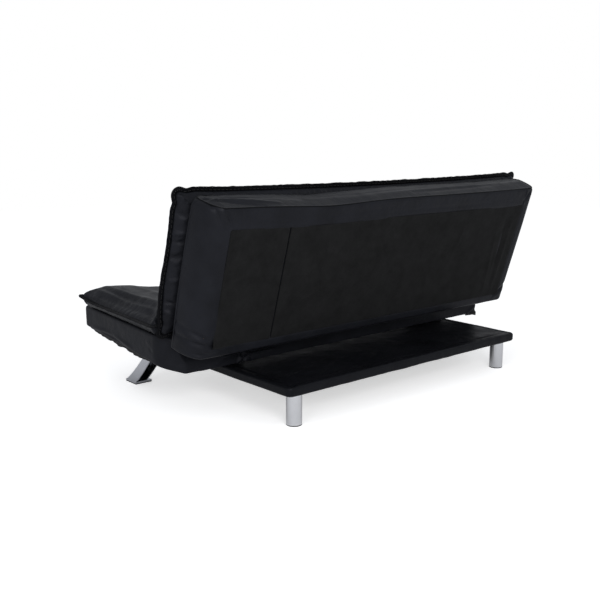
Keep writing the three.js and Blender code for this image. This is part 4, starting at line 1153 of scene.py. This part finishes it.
def platform_deck():
    """The platform's padded cover, with a seam round its top."""
    low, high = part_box("platform_cover")
    loops = []
    straight = high.x - DECK_CORNER
    places = spread([-straight, straight], GRID)[1:-1]
    for z in levels(low.z, high.z, DECK_EDGE, DECK_EDGE):
        inset = max(corner_inset(z - low.z, DECK_EDGE), corner_inset(high.z - z, DECK_EDGE))
        corner = DECK_CORNER - inset / 2
        half, front, rear = high.x - inset, low.y + inset, high.y - inset
        loop = rounded_loop(half, front, rear, corner, (corner, corner), places, arc_count=6)
        loops.append([Vector((x, y, z)) for x, y in loop])
    middle = (low.y + high.y) / 2

    def spine(p):
        reach = high.x - (high.y - low.y) / 2
        return Vector((max(-reach, min(reach, p.x)), middle, p.z))

    obj = loft("platform_skin", loops, spine, rings=26)
    subdivide(obj)
    points = coordinates(obj)
    lift = ripple(points, height=0.0014, size=0.13, seed=5.0) - DECK_SHRINK
    lift += ripple(points, height=0.0006, size=0.04, seed=6.0)
    top = points[:, 2] > high.z - DECK_REACH
    lift[top] += fold_heights(points[top, :2], DECK_FOLDS)
    push(obj, lift)
    border = high.x - DECK_BORDER
    for x in (border, -border):
        press_in(obj, [Vector((x, y, high.z)) for y in np.arange(low.y, high.y, GROOVE_STEP)])
    y = high.y - DECK_BORDER
    press_in(obj, [Vector((x, y, high.z)) for x in np.arange(low.x, high.x, GROOVE_STEP)])
    finish_piece(obj, "base", DECK_SKIN, "platform_cover")


# Stage


def make_camera():
    data = bpy.data.cameras.new("camera")
    data.lens = FOCAL_SHARE * data.sensor_width
    data.clip_end = 60
    camera = add_object("camera", data)
    camera.location = CAMERA_PLACE
    camera.rotation_euler = (math.pi / 2 - CAMERA_DROP, 0, math.pi - CAMERA_TURN)
    bpy.context.scene.camera = camera


def area_lamp(name, place, target, size, power):
    data = bpy.data.lights.new(name, "AREA")
    data.shape = "RECTANGLE"
    data.size, data.size_y = size
    data.energy = power
    lamp = add_object(name, data)
    lamp.location = place
    direction = Vector(target) - Vector(place)
    lamp.rotation_euler = direction.to_track_quat("-Z", "Y").to_euler()


def seen(tree):
    """1 where the camera looks straight at it, and 0 for all other light."""
    return tree.nodes.new("ShaderNodeLightPath").outputs["Is Camera Ray"]


def make_world():
    world = bpy.data.worlds.new("studio")
    world.use_nodes = True
    tree = world.node_tree
    plain = tree.nodes["Background"]
    set_inputs(plain, {"Color": (0.94, 0.96, 1.0, 1), "Strength": WORLD_LEVEL})
    white = tree.nodes.new("ShaderNodeBackground")
    set_inputs(white, {"Color": (1, 1, 1, 1), "Strength": 1.0})
    mix = tree.nodes.new("ShaderNodeMixShader")
    tree.links.new(seen(tree), mix.inputs["Fac"])
    tree.links.new(plain.outputs[0], mix.inputs[1])
    tree.links.new(white.outputs[0], mix.inputs[2])
    tree.links.new(mix.outputs[0], tree.nodes["World Output"].inputs["Surface"])
    bpy.context.scene.world = world


def make_stage():
    make_world()
    half = FLOOR_HALF
    corners = [(-half, -half, 0), (half, -half, 0), (half, half, 0), (-half, half, 0)]
    floor = mesh_object("floor", corners, [(0, 1, 2, 3)])
    material, tree, shader, _ = new_material("floor_pale")
    set_inputs(shader, {"Base Color": (0.93, 0.93, 0.93, 1), "Emission Color": (1, 1, 1, 1)})
    set_inputs(shader, {"Roughness": 0.9, "Specular IOR Level": 0.0})
    glow = tree.nodes.new("ShaderNodeMath")
    glow.operation = "MULTIPLY"
    glow.inputs[1].default_value = FLOOR_GLOW
    tree.links.new(seen(tree), glow.inputs[0])
    tree.links.new(glow.outputs[0], shader.inputs["Emission Strength"])
    floor.data.materials.append(material)
    area_lamp("key_lamp", (2.2, 4.2, 2.4), (0, 0.2, 0.4), size=(1.8, 1.4), power=LAMP_POWER)
    area_lamp("side_lamp", (4.2, 2.4, 2.0), (0.5, 0.2, 0.4), size=(1.4, 1.2), power=SIDE_LAMP_POWER)
    bpy.context.scene.view_settings.view_transform = "Standard"


make_camera()
make_stage()
dress_nodes()
make_pads()
back_box()
rear_panel()
cap_seam()
seat_box()
ruffles()
platform_deck()
